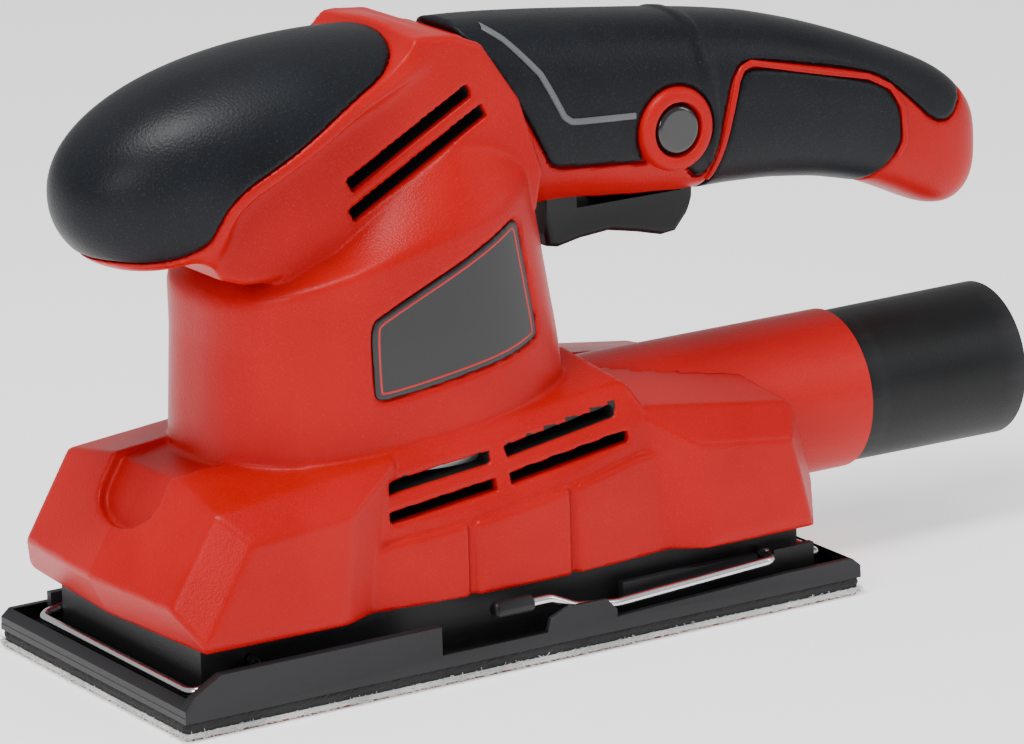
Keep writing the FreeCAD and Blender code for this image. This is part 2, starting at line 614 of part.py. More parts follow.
shell = outer.cut(palm_grip)
shell = shell.cut([upper_full, lower_grip])
shell = shell.cut([chamber, cavity, through_low, bulkhead_hole, bracket_slot, duct_hole])
print("hollowed: solids", len(shell.Solids), "valid", shell.isValid())

# bosses for the six housing screws, and their counterbores on the +Y side
SCREWS = [(-72.0, 34.0, 34.0), (-50.5, 72.0, 24.0), (25.0, 72.0, 24.0), (-34.0, 112.0, 21.0), (20.0, 121.0, 14.0),
          (104.0, 113.0, 15.0)]
bosses, holes, screws = [], [], []
for x, z, yw in SCREWS:
    bosses.append(ycyl(x, z, 3.8, -yw, yw))
    holes.append(ycyl(x, z, 1.7, -9.0, 60).fuse(ycyl(x, z, 3.4, 10.0, 60)))
    screws.append(ycyl(x, z, 1.6, -8.5, 10.0).fuse(ycyl(x, z, 3.1, 10.0, 12.6)).cut(ycyl(x, z, 1.3, 11.2, 13)))
for sx in (-1, 1):
    for sy in (-1, 1):
        bosses.append(zcyl(sx * d("post_x"), sy * d("post_y"), d("post_rad"), 33.9, 43.5))
shell = shell.fuse([b_.common(outer) for b_ in bosses] + [ybox(-44, 6, -1.0, 1.0, 112.6, 135.6)])
# vents: two slots each side of the neck, four each side of the middle
vents = []
for s_ in (-1, 1):
    for (xa, za, xb, zb) in ((-31.5, 117.0, 1.3, 134.9), (-31.2, 109.5, 5.0, 129.2)):
        L = math.hypot(xb - xa, zb - za)
        bx_ = Part.makeBox(L, 12, 3.6, V(0, -6, -1.8))
        bx_.Placement = Placement(V(xa, s_ * 21.5, za), Rotation(V(0, 1, 0), -math.degrees(math.atan2(zb - za, xb - xa))))
        vents.append(bx_)
    for (xa, za, xb, zb) in ((-32.5, 46.9, -4.7, 49.7), (-0.4, 50.2, 30.0, 54.9), (-33.0, 40.1, -4.0, 43.4), (-0.2, 43.9, 33.0, 48.6)):
        L = math.hypot(xb - xa, zb - za)
        bx_ = Part.makeBox(L, 9, 3.1, V(0, -4.5, -1.55))
        bx_.Placement = Placement(V(xa, s_ * 36.4, za), Rotation(V(0, 1, 0), -math.degrees(math.atan2(zb - za, xb - xa))))
        vents.append(bx_)
shell = shell.cut(vents)
# grooves between the three raised panels of each side
for s_ in (-1, 1):
    for gx in (-13.2, 15.3):
        shell = shell.cut(ybox(gx - 1.1, gx + 1.1, min(s_ * 41.5, s_ * 39.2), max(s_ * 41.5, s_ * 39.2), 15, 38 + 0.12 * gx))
# seats: lock button, trigger pin, switch, inlet, badge recesses, posts
lock_bore = ycyl(d("lock_x"), d("lock_z"), d("lock_rad") + 0.35, -30, -11.2).fuse(ycyl(d("lock_x"), d("lock_z"), 3.3, -13, -4))
pin_hole = ycyl(d("trig_pivot_x"), d("trig_pivot_z"), d("trig_pin_rad"), -11.2, 11.2)
inlet_bore = xcyl(0, 97.0, 6.5, 143.5, 170).fuse([xcyl(0, 97.0, 7.2, 145.6, 147.6), xcyl(0, 97.0, 4.5, 120, 144),
                                                ybox(126.5, 135.0, -9.2, 9.2, 100.3, 106.0),
                                                zcyl(130.75, -6.2, 1.45, 93.9, 101), zcyl(130.75, 6.2, 1.45, 93.9, 101)])
shell = shell.cut([inlet_bore, pin_hole])
# badge: a thin plate let into each flank of the column
BADGE = [(-33.6, 84.3), (-31.6, 87.2), (0.8, 101.0), (8.8, 104.8), (10.9, 94.0), (14.6, 75.5), (13.4, 73.6), (4.0, 71.0),
         (-18.8, 67.8), (-29.6, 66.6), (-32.2, 66.9), (-33.0, 68.6)]
badge_l = prism_xz(BADGE, -36.0, -31.0)
badge_r = prism_xz(BADGE, 31.0, 36.0)
flank_in = Part.makeLoft([closed_spline([(cx + p[0], p[1], zz) for p in superellipse(a - 1.2, bb - 1.2, 2.7)])
                          for zz, cx, a, bb in ((50.0, -16.0, 49.0, 32.0), (62.0, -15.9, 48.4, 32.2), (80.0, -15.6, 46.9, 32.8), (112.0, -16.0, 46.5, 33.2))], True, False)
badge_left = badge_l.common(column).cut(flank_in)
badge_right = badge_r.common(column).cut(flank_in)
shell = shell.cut([badge_left, badge_right])
shell = shell.cut([ybox(-200, 200, -60, 60, -20, 18.6)])
print("cut: solids", len(shell.Solids), "valid", shell.isValid())

left_box = ybox(-200, 250, -80, 0, -10, 200)
right_box = ybox(-200, 250, 0, 80, -10, 200)
# the halves are mirror images but for the lock button's ring and seat (-Y) and the screw counterbores (+Y)
half = sorted(shell.common(left_box).Solids, key=lambda s_: -s_.Volume)[0]
left = sorted(half.fuse(ring_boss).cut([lock_bore] + holes).Solids, key=lambda s_: -s_.Volume)
right = sorted(half.mirror(V(0, 0, 0), V(0, 1, 0)).cut(holes).Solids, key=lambda s_: -s_.Volume)
print("left pieces", [round(s_.Volume) for s_ in left][:6], "right pieces", [round(s_.Volume) for s_ in right][:6])
feat("housing_left", left[0])
feat("housing_right", right[0])
feat("palm_grip", palm_grip)
for nm, g in (("handle_grip", upper_grip), ("lower_grip", lower_grip)):
    for side_, bb_ in (("left", left_box), ("right", right_box)):
        ps = sorted(g.common(bb_).Solids, key=lambda s_: -s_.Volume)
        print(nm, side_, [round(s_.Volume) for s_ in ps])
        feat("%s_%s" % (nm, side_), ps[0])
feat("badge_left", sorted(badge_left.Solids, key=lambda s_: -s_.Volume)[0])
feat("badge_right", sorted(badge_right.Solids, key=lambda s_: -s_.Volume)[0])
feat("housing_screws", Part.makeCompound(screws))

# ---------------------------------------------------------------------------
# sanding plate
# ---------------------------------------------------------------------------
px, py = d("plate_len") / 2, d("plate_wid") / 2
near_parts = [
    # tall side wall at the front, sloped down to the front rim
    prism_xz([(-93.4, 4.3), (-93.4, 7.4), (-91.6, 9.7), (-90.7, 10.4), (-83.7, 14.4), (-25.0, 14.4), (-25.0, 4.3)], -45, -42.4),
    prism_xz([(-25.0, 4.3), (-25.0, 7.5), (4.2, 7.5), (4.2, 4.3)], -45, -43.6),
    # catch lug for the clamp lever
    prism_xz([(4.0, 4.3), (4.0, 7.9), (4.9, 10.9), (10.0, 12.8), (20.6, 12.6), (23.4, 9.6), (23.4, 4.3)], -45, -43.95),
    # low rear side wall
    prism_xz([(23.4, 4.3), (23.4, 7.7), (27.5, 7.9), (59.0, 8.9), (71.9, 9.3), (91.0, 9.3), (93.4, 7.4), (93.4, 4.3)], -45, -43.3),
    # inner ridge with a notch for the clamp's pivot
    prism_xz([(29.0, 4.3), (29.0, 13.5), (67.6, 13.5), (67.6, 10.9), (72.4, 10.9), (72.4, 13.5), (84.0, 13.5), (84.0, 4.3)], -38.9, -36.9),
    # rear and front rims
    prism_xz([(91.2, 4.3), (91.2, 9.3), (93.4, 7.4), (93.4, 4.3)], -45, 45),
]
plate = ybox(-px, px, -py, py, 4.3, 5.7)
rot = Placement(V(0, 0, 0), Rotation(V(0, 0, 1), 180))
allp = []
for s_ in near_parts:
    allp.append(s_)
    c_ = s_.copy()
    c_.Placement = rot.multiply(c_.Placement)
    allp.append(c_)
boxw = ybox(-82.7, 82.7, -33.6, 33.6, 5.0, 17.5).cut(ybox(-80.7, 80.7, -31.6, 31.6, 4, 20))
hub = zcyl(mx + d("ecc"), 0, d("hub_rad"), 5.0, d("hub_top"))
ribs = [ybox(-81, 81, -1.2, 1.2, 5, 12), ybox(mx - 1.2 + 1, mx + 1.2 + 1, -32, 32, 5, 12), ybox(30.8, 33.2, -32, 32, 5, 12)]
cups = []
for sx in (-1, 1):
    for sy in (-1, 1):
        cups.append(zcyl(sx * d("post_x") + d("ecc"), sy * d("post_y"), 7.95, 5.0, 14.0))
plate = plate.fuse(allp + [boxw, hub] + ribs + cups)
cuts = [zcyl(mx + d("ecc"), 0, d("pad_brg_rad"), d("pad_brg_z"), 40), zcyl(mx + d("ecc"), 0, d("hub_bore"), 0, 20)]
for sx in (-1, 1):
    for sy in (-1, 1):
        cuts.append(zcyl(sx * d("post_x") + d("ecc"), sy * d("post_y"), 6.75, 7.0, 20))
for ix in (-1.5, -0.5, 0.5, 1.5):
    for iy in (-1, 1):
        cuts.append(zcyl(ix * d("hole_pitch"), iy * d("hole_y"), d("hole_rad"), 0, 16))
# stub holes of the two clamp wires through the box wall
cuts.append(ycyl(d("clamp_x"), d("clamp_z"), 1.5, 28, 34.5))
cuts.append(ycyl(-d("clamp_x"), d("clamp_z"), 1.5, -34.5, -28))
plate = plate.cut(cuts).removeSplitter()
print("plate solids", len(plate.Solids), plate.isValid())
feat("base_plate", plate.Solids[0] if len(plate.Solids) == 1 else sorted(plate.Solids, key=lambda s_: -s_.Volume)[0])

# clamp wires: crank bar across the end, two legs, pivot, and the long lever along one side
wr = d("wire_rad")
cx_, cz_, bx2, bz2, ly = d("clamp_x"), d("clamp_z"), d("bar_x"), d("bar_z"), d("lever_y")
rear_path = [(cx_, 30.4, cz_), (cx_, 38.6, cz_), (bx2, 38.6, bz2), (bx2, -35.2, bz2), (cx_, -35.2, cz_), (cx_, -ly, cz_),
             (25.0, -ly, 10.2), (13.5, -ly, 11.6), (6.5, -ly, 14.8), (-9.0, -ly, 14.8)]
rads = [2.4, 3.0, 3.0, 2.4, 2.4, 14.0, 8.0, 5.0]
wire_r = wire_sweep(rear_path, rads, wr)
cap_r = Part.makeCylinder(1.95, 10.6, V(-9.6, -ly, 14.8), V(1, 0, 0))
try:
    cap_r = cap_r.makeFillet(1.2, [e for e in cap_r.Edges if abs(e.BoundBox.XMin + 9.6) < 1e-6 and abs(e.BoundBox.XMax + 9.6) < 1e-6])
except Exception:
    pass
cap_r = cap_r.cut(wire_r)
cap_r = sorted(cap_r.Solids, key=lambda s_: -s_.Volume)[0]
for nm, shp in (("rear_clamp_wire", wire_r), ("rear_lever_cap", cap_r)):
    feat(nm, shp)
for nm, shp in (("front_clamp_wire", wire_r), ("front_lever_cap", cap_r)):
    c_ = shp.copy()
    c_.rotate(V(0, 0, 0), V(0, 0, 1), 180)
    feat(nm, c_)

# ---------------------------------------------------------------------------
# motor furniture
# ---------------------------------------------------------------------------
bz, bt = d("bracket_z"), d("bracket_thk")
br = zcyl(mx, 0, d("bracket_rad"), bz, bz + bt).fuse(zcyl(mx, 0, d("cup_rad"), bz, bz + bt + d("cup_len")))
br = br.cut([zcyl(mx, 0, d("low_brg_rad"), d("low_brg_z"), 80), zcyl(mx, 0, 6.5, 40, 60)])
for i in range(6):
    a = math.radians(30 + 60 * i)
    br = br.cut(zcyl(mx + 21.5 * math.cos(a), 21.5 * math.sin(a), 5.2, 40, 60))
feat("bearing_bracket", br.removeSplitter())

coil = []
for s_ in (-1, 1):
    y0, y1 = (14.8, 18.9) if s_ > 0 else (-18.9, -14.8)
    c_ = ybox(mx - 13.7, mx + 13.7, y0, y1, d("core_z") - 4.6, d("core_z") + d("core_len") + 4.0)
    c_ = c_.makeFillet(1.6, c_.Edges)
    coil.append(c_)
feat("field_coils", Part.makeCompound(coil))

hold, carb, spr = [], [], []
bz_ = d("brush_z")
for s_ in (-1, 1):
    y0, y1 = d("comm_rad") + 1.2, d("comm_rad") + 1.2 + d("holder_len")
    hb = ybox(mx - 4.5, mx + 4.5, min(s_ * y0, s_ * y1), max(s_ * y0, s_ * y1), bz_ - 3.9, bz_ + 4.0)
    hb = hb.cut(ybox(mx - 2.6, mx + 2.6, min(s_ * (y0 - 1), s_ * (y1 - 1.5)), max(s_ * (y0 - 1), s_ * (y1 - 1.5)), bz_ - 3.3, bz_ + 3.35))
    hold.append(hb)
    cb = ybox(mx - 2.5, mx + 2.5, min(s_ * 7, s_ * (y0 + 8)), max(s_ * 7, s_ * (y0 + 8)), bz_ - 3.2, bz_ + 3.25)
    cb = cb.cut(zcyl(mx, 0, d("comm_rad") + 0.06, 80, 110))
    carb.append(cb)
    # coil spring behind the brush
    yb = y0 + 8.1
    L = (y1 - 1.6) - yb
    n_t = 5
    hx = Part.makeHelix((L - 0.6) / n_t, L - 0.6, 1.9)
    prof = Part.Wire([Part.makeCircle(0.25, V(1.9, 0, 0), V(0, 1.9, (L - 0.6) / n_t / (2 * math.pi)))])
    sp = Part.Wire(hx.Edges).makePipeShell([prof], True, True)
    sp.Placement = Placement(V(mx, s_ * (yb + 0.3), bz_), Rotation(V(1, 0, 0), -90 if s_ > 0 else 90))
    spr.append(sp)
feat("brush_holders", Part.makeCompound(hold))
feat("carbon_brushes", Part.makeCompound(carb))
feat("brush_springs", Part.makeCompound(spr))

# ---------------------------------------------------------------------------
# switch, trigger and lock button
# ---------------------------------------------------------------------------
sw = ybox(38.0, 55.0, -8.0, 8.0, 106.5, 126.0)
sw = sw.makeFillet(1.0, sw.Edges).fuse(zcyl(50.5, 0, 2.6, 105.0, 107.5)).removeSplitter()
feat("switch_body", sw)
cap = ybox(76.0, 94.0, -6.5, 6.5, 108.5, 122.5)
feat("capacitor", cap.makeFillet(1.5, cap.Edges))

th = d("trig_half")
trig = prism_xz([(30.2, 108.0), (30.0, 92.0), (30.6, 89.0), (33.5, 88.4), (40.0, 89.6), (48.0, 90.2), (56.0, 88.6),
                 (63.0, 86.8), (67.0, 87.2), (69.6, 90.2), (71.2, 95.5), (71.4, 101.0), (68.0, 101.0), (68.0, 97.5),
                 (38.5, 97.5), (38.5, 106.0), (36.5, 108.0)], -th, th)
ed = []
for e in trig.Edges:
    vs = [vv.Point for vv in e.Vertexes]
    if len(vs) == 2 and abs(vs[0].y - vs[1].y) < 1e-6 and (vs[0].z + vs[1].z) / 2 < 91.5:
        ed.append(e)
try:
    tr = trig.makeFillet(1.8, ed)
    trig = tr if tr.isValid() else trig
except Exception as exc:
    print("trigger edges stay sharp:", exc)
# actuator post under the switch and stop arm beside the lock pin
trig = trig.fuse([ybox(48.3, 52.7, -3, 3, 97.0, 103.0), ybox(58.0, 64.0, -3.2, 3.2, 97.0, 108.5)])
trig = trig.cut(ycyl(d("trig_pivot_x"), d("trig_pivot_z"), d("trig_pin_rad") + 0.05, -20, 20)).removeSplitter()
feat("trigger", trig)
feat("trigger_pin", ycyl(d("trig_pivot_x"), d("trig_pivot_z"), d("trig_pin_rad"), -11.0, 11.0))

lk = ycyl(d("lock_x"), d("lock_z"), d("lock_rad"), -d("lock_face"), -14.6)
try:
    lk = lk.makeFillet(1.3, [e for e in lk.Edges if abs(e.BoundBox.YMin + d("lock_face")) < 1e-4 and abs(e.BoundBox.YMax + d("lock_face")) < 1e-4])
except Exception:
    pass
lk = lk.fuse(ycyl(d("lock_x"), d("lock_z"), 3.0, -15, -7.6)).removeSplitter()
feat("lock_button", lk)

# ---------------------------------------------------------------------------
# cord inlet: bushing, strain clamp and its two screws (no cord is fitted)
# ---------------------------------------------------------------------------
bu = xcyl(0, 97.0, 6.5, 143.6, 155.8).fuse(xcyl(0, 97.0, 7.2, 145.6, 147.6)).cut(xcyl(0, 97.0, 3.6, 120, 170))
feat("inlet_bushing", bu.removeSplitter())
cl = ybox(128.0, 133.5, -8.5, 8.5, 100.3, 103.0)
for s_ in (-1, 1):
    cl = cl.cut(zcyl(130.75, s_ * 6.2, 1.5, 90, 110))
feat("cord_clamp", cl)
feat("cord_clamp_screws", Part.makeCompound([zcyl(130.75, s_ * 6.2, 1.4, 94.0, 103.0).fuse(zcyl(130.75, s_ * 6.2, 2.5, 103.0, 105.0)) for s_ in (-1, 1)]))

# ---------------------------------------------------------------------------
# dust duct and push-on adapter
# ---------------------------------------------------------------------------
dz = d("duct_z")
du = xcyl(0, dz, d("duct_rad"), d("duct_x"), d("duct_x") + d("duct_len")).cut(xcyl(0, dz, d("duct_bore"), 30, 130))
feat("dust_duct", du.removeSplitter())
ad = xcyl(0, dz, d("adp_spigot"), 97.0, 116.2)
cone = Part.makeCone(19.0, 19.35, d("adp_end") - 115.7, V(115.7, 0, dz), V(1, 0, 0))
ad = ad.fuse(cone).cut(xcyl(0, dz, d("adp_bore"), 90, 170)).removeSplitter()
feat("dust_adapter", ad)

# four rubber posts between housing and plate
posts = []
for sx in (-1, 1):
    for sy in (-1, 1):
        c_ = zcyl(sx * d("post_x"), sy * d("post_y"), d("post_rad"), 7.4, 33.9)
        c_ = c_.cut(Part.makeTorus(8.6, 4.3, V(sx * d("post_x"), sy * d("post_y"), 20.5)))
        posts.append(c_)
feat("rubber_posts", Part.makeCompound(posts))

doc.recompute()

# ---------------------------------------------------------------------------
# checks and export
# ---------------------------------------------------------------------------
bad = [o.Name for o in doc.Objects if "Invalid" in o.State or "Error" in o.State]
for o in NODES:
    shp = o.Shape
    if shp.isNull() or not shp.isValid() or not shp.Solids:
        bad.append(o.Label)
if bad:
    raise RuntimeError("failed objects: %s" % bad)
os.makedirs("parts", exist_ok=True)
for o in NODES:
    o.Shape.exportStep("parts/%s.step" % o.Label)
bbx = Part.makeCompound([o.Shape for o in NODES]).BoundBox
print("nodes", len(NODES), "box", [round(q, 2) for q in (bbx.XMin, bbx.YMin, bbx.ZMin, bbx.XMax, bbx.YMax, bbx.ZMax)])
for o in NODES:
    q_ = o.Shape.BoundBox
    print("%-20s solids %d volume %.0f box %s" % (o.Label, len(o.Shape.Solids), o.Shape.Volume, [round(w_, 1) for w_ in (q_.XMin, q_.YMin, q_.ZMin, q_.XMax, q_.YMax, q_.ZMax)]))
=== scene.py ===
import bpy, bmesh, json, math
import numpy as np
from mathutils import Vector, Matrix


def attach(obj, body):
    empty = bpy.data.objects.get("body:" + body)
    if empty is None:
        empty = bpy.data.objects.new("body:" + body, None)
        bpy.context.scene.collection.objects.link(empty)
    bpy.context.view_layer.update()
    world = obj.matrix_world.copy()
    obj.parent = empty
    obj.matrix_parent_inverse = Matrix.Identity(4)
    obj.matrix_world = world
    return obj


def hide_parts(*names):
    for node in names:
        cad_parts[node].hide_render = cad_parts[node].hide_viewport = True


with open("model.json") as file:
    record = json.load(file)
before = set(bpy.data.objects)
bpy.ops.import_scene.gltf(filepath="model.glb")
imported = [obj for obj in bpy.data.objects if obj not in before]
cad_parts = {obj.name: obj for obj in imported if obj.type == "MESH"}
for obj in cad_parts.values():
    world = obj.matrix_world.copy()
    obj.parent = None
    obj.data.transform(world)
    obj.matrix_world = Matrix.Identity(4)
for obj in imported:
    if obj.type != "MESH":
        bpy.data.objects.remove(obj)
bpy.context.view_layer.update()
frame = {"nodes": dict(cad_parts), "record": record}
N = frame["nodes"]
rng = np.random.default_rng(7)

# ------------------------------------------------------------------ materials


def material(name, col, rough, metal=0.0, grain=(0.9, 0.25), mottled=0.12, wear=0.25, wear_col=None, spec=0.5,
             coat=0.0, rough_var=0.08, speck=0.0, speck_col=(1, 1, 1)):
    """Moulded or metal finish: fine grain (size mm, bump), slow colour variation, lighter worn edges."""
    m = bpy.data.materials.new(name)
    m.use_nodes = True
    nt = m.node_tree
    b = nt.nodes["Principled BSDF"]
    b.inputs["Metallic"].default_value = metal
    b.inputs["Specular IOR Level"].default_value = spec
    if coat:
        b.inputs["Coat Weight"].default_value = coat
        b.inputs["Coat Roughness"].default_value = 0.12
    L = nt.links
    tc = nt.nodes.new("ShaderNodeTexCoord")
    n1 = nt.nodes.new("ShaderNodeTexNoise")
    n1.inputs["Scale"].default_value = 1000.0 / max(grain[0], 0.05)
    n1.inputs["Detail"].default_value = 3.0
    L.new(tc.outputs["Object"], n1.inputs["Vector"])
    n2 = nt.nodes.new("ShaderNodeTexNoise")
    n2.inputs["Scale"].default_value = 38.0
    n2.inputs["Detail"].default_value = 4.0
    L.new(tc.outputs["Object"], n2.inputs["Vector"])
    r1 = nt.nodes.new("ShaderNodeValToRGB")
    dark = [c * (1 - mottled) for c in col]
    lite = [min(1.0, c * (1 + mottled) + 0.002) for c in col]
    r1.color_ramp.elements[0].position, r1.color_ramp.elements[1].position = 0.35, 0.68
    r1.color_ramp.elements[0].color = (*dark, 1)
    r1.color_ramp.elements[1].color = (*lite, 1)
    L.new(n2.outputs["Fac"], r1.inputs["Fac"])
    out_col = r1.outputs["Color"]
    if speck:
        vo = nt.nodes.new("ShaderNodeTexNoise")
        vo.inputs["Scale"].default_value = 2400.0
        vo.inputs["Detail"].default_value = 1.0
        L.new(tc.outputs["Object"], vo.inputs["Vector"])
        rs = nt.nodes.new("ShaderNodeValToRGB")
        rs.color_ramp.elements[0].position, rs.color_ramp.elements[1].position = 0.60, 0.78
        rs.color_ramp.elements[0].color = (0, 0, 0, 1)
        rs.color_ramp.elements[1].color = (speck, speck, speck, 1)
        L.new(vo.outputs["Fac"], rs.inputs["Fac"])
        mx = nt.nodes.new("ShaderNodeMix")
        mx.data_type = "RGBA"
        L.new(rs.outputs["Color"], mx.inputs[0])
        L.new(out_col, mx.inputs[6])
        mx.inputs[7].default_value = (*speck_col, 1)
        out_col = mx.outputs[2]
    if wear:
        g = nt.nodes.new("ShaderNodeNewGeometry")
        rw = nt.nodes.new("ShaderNodeValToRGB")
        rw.color_ramp.elements[0].position, rw.color_ramp.elements[1].position = 0.53, 0.62
        rw.color_ramp.elements[0].color = (0, 0, 0, 1)
        rw.color_ramp.elements[1].color = (wear, wear, wear, 1)
        L.new(g.outputs["Pointiness"], rw.inputs["Fac"])
        mw = nt.nodes.new("ShaderNodeMix")
        mw.data_type = "RGBA"
        L.new(rw.outputs["Color"], mw.inputs[0])
        L.new(out_col, mw.inputs[6])
        wc = wear_col or [min(1.0, c * 1.6 + 0.03) for c in col]
        mw.inputs[7].default_value = (*wc, 1)
        out_col = mw.outputs[2]
    L.new(out_col, b.inputs["Base Color"])
    mr = nt.nodes.new("ShaderNodeMapRange")
    mr.inputs["To Min"].default_value = max(0.02, rough - rough_var)
    mr.inputs["To Max"].default_value = min(1.0, rough + rough_var)
    L.new(n2.outputs["Fac"], mr.inputs["Value"])
    L.new(mr.outputs["Result"], b.inputs["Roughness"])
    bu = nt.nodes.new("ShaderNodeBump")
    bu.inputs["Strength"].default_value = grain[1]
    bu.inputs["Distance"].default_value = 0.0002
    L.new(n1.outputs["Fac"], bu.inputs["Height"])
    L.new(bu.outputs["Normal"], b.inputs["Normal"])
    return m


RED = (0.43, 0.001, 0.002)
M = {
    "red_plastic": material("red_moulded", RED, 0.36, grain=(0.55, 0.45), mottled=0.06, wear=0.25, wear_col=(0.75, 0.03, 0.03), speck=0.10, speck_col=(0.85, 0.12, 0.11), spec=0.15),
    "soft_grip": material("soft_grip", (0.0045, 0.0058, 0.0085), 0.43, grain=(0.7, 0.5), mottled=0.18, wear=0.12, wear_col=(0.04, 0.045, 0.055), spec=0.18, speck=0.25, speck_col=(0.06, 0.07, 0.085)),
    "black_plastic": material("black_moulded", (0.004, 0.0045, 0.0055), 0.44, grain=(0.6, 0.3), mottled=0.2, wear=0.3, wear_col=(0.05, 0.05, 0.055), spec=0.25),
    "gloss_black": material("polished_black", (0.006, 0.006, 0.007), 0.13, grain=(1.5, 0.05), mottled=0.1, wear=0.0, rough_var=0.03, coat=0.5),
    "badge_black": material("badge_black", (0.008, 0.008, 0.010), 0.33, grain=(0.35, 0.2), mottled=0.12, wear=0.15),
    "grey_line": material("grey_ridge", (0.10, 0.105, 0.115), 0.42, grain=(0.7, 0.3), mottled=0.1, wear=0.2),
    "red_line": material("red_line", (0.45, 0.002, 0.004), 0.36, grain=(0.5, 0.15), mottled=0.06, wear=0.1),
    "steel": material("bright_wire", (0.66, 0.67, 0.69), 0.22, metal=1.0, grain=(0.5, 0.12), mottled=0.10, wear=0.2, rough_var=0.10),
    "screw_steel": material("blackened_steel", (0.12, 0.12, 0.13), 0.35, metal=1.0, grain=(0.5, 0.2), mottled=0.2, wear=0.4),
    "laminations": material("steel_stack", (0.28, 0.28, 0.30), 0.5, metal=0.8, grain=(0.6, 0.4), mottled=0.15),
    "copper": material("lacquered_copper", (0.42, 0.14, 0.05), 0.35, metal=0.8, grain=(0.5, 0.5), mottled=0.2),
    "brass": material("brass", (0.60, 0.42, 0.16), 0.3, metal=1.0, grain=(0.6, 0.2)),
    "aluminium": material("cast_aluminium", (0.52, 0.53, 0.55), 0.45, metal=0.9, grain=(0.8, 0.45)),
    "carbon": material("graphite", (0.03, 0.03, 0.03), 0.55, grain=(0.5, 0.3)),
    "foam": material("foam_black", (0.012, 0.012, 0.013), 0.85, grain=(0.8, 1.0), mottled=0.35, wear=0.2),
    "hook": material("hook_white", (0.62, 0.62, 0.61), 0.9, grain=(0.5, 1.0), mottled=0.25, wear=0.0),
    "abrasive": material("abrasive", (0.16, 0.05, 0.03), 0.85, grain=(0.35, 1.0), mottled=0.35, wear=0.0, speck=0.5, speck_col=(0.45, 0.25, 0.18)),
    "boot_rubber": material("rubber_black", (0.016, 0.016, 0.017), 0.7, grain=(0.6, 0.4), mottled=0.2),
    # inside: near-black red used as painted shade on the red walls deep in the vent slots and inside the open underside
    "inside": material("painted_shade_dark", (0.006, 0.004, 0.004), 0.7, grain=(0.8, 0.2), mottled=0.2, wear=0.0),
}
slot_of = {s["node"]: s["material_slot"] for s in frame["record"]["subparts"]}
for n, o in N.items():
    o.data.materials.clear()
    o.data.materials.append(M[slot_of[n]])
    for p in o.data.polygons:
        p.material_index = 0

# ------------------------------------------------------------------ signed-distance modelling (mm)


def smax(a, b, k):
    h = np.clip(0.5 + 0.5 * (a - b) / k, 0.0, 1.0)
    return a * h + b * (1 - h) + k * h * (1 - h)


def smin(a, b, k):
    return -smax(-a, -b, k)


def smaxs(k, *ds):
    r = ds[0]
    for q in ds[1:]:
        r = smax(r, q, k)
    return r


def hs(a, b, c, inside):
    """Half space through three points, negative on the side of inside."""
    a, b, c, inside = (np.array(q, float) for q in (a, b, c, inside))
    n = np.cross(b - a, c - a)
    n /= np.linalg.norm(n)
    if n @ (inside - a) > 0:
        n = -n
    w = float(n @ a)
    return lambda x, y, z: n[0] * x + n[1] * y + n[2] * z - w


def sell(u, v, a, b, n):
    """Distance-like value of a superellipse with half sizes a, b."""
    u, v = np.abs(u) + 1e-4, np.abs(v) + 1e-4
    ua, vb = (u / a) ** n, (v / b) ** n
    F = (ua + vb) ** (1.0 / n)
    gu = ua / u * F ** (1 - n)
    gv = vb / v * F ** (1 - n)
    return (F - 1.0) / np.sqrt(gu * gu + gv * gv)


def poly_sd(pts, X, Z):
    """Signed distance to a closed polygon, negative inside."""
    P = np.array(pts, float)
    d2 = np.full(np.broadcast(X, Z).shape, 1e9)
    inside = np.zeros(d2.shape, bool)
    for i in range(len(P)):
        ax, az = P[i]
        bx, bz = P[(i + 1) % len(P)]
        ex, ez = bx - ax, bz - az
        wx, wz = X - ax, Z - az
        t = np.clip((wx * ex + wz * ez) / (ex * ex + ez * ez), 0, 1)
        dx, dz = wx - ex * t, wz - ez * t
        d2 = np.minimum(d2, dx * dx + dz * dz)
        if abs(ez) > 1e-9:
            cond = ((az <= Z) & (bz > Z)) | ((bz <= Z) & (az > Z))
            xi = ax + (Z - az) / ez * ex
            inside ^= cond & (X < xi)
    d = np.sqrt(d2)
    return np.where(inside, -d, d)


def smooth_poly(pts, n=2):
    """Chaikin corner cutting of a closed polygon."""
    P = [np.array(p, float) for p in pts]
    for _ in range(n):
        Q = []
        for i in range(len(P)):
            a, b = P[i], P[(i + 1) % len(P)]
            Q += [a * 0.8 + b * 0.2, a * 0.2 + b * 0.8]
        P = Q
    return [tuple(p) for p in P]


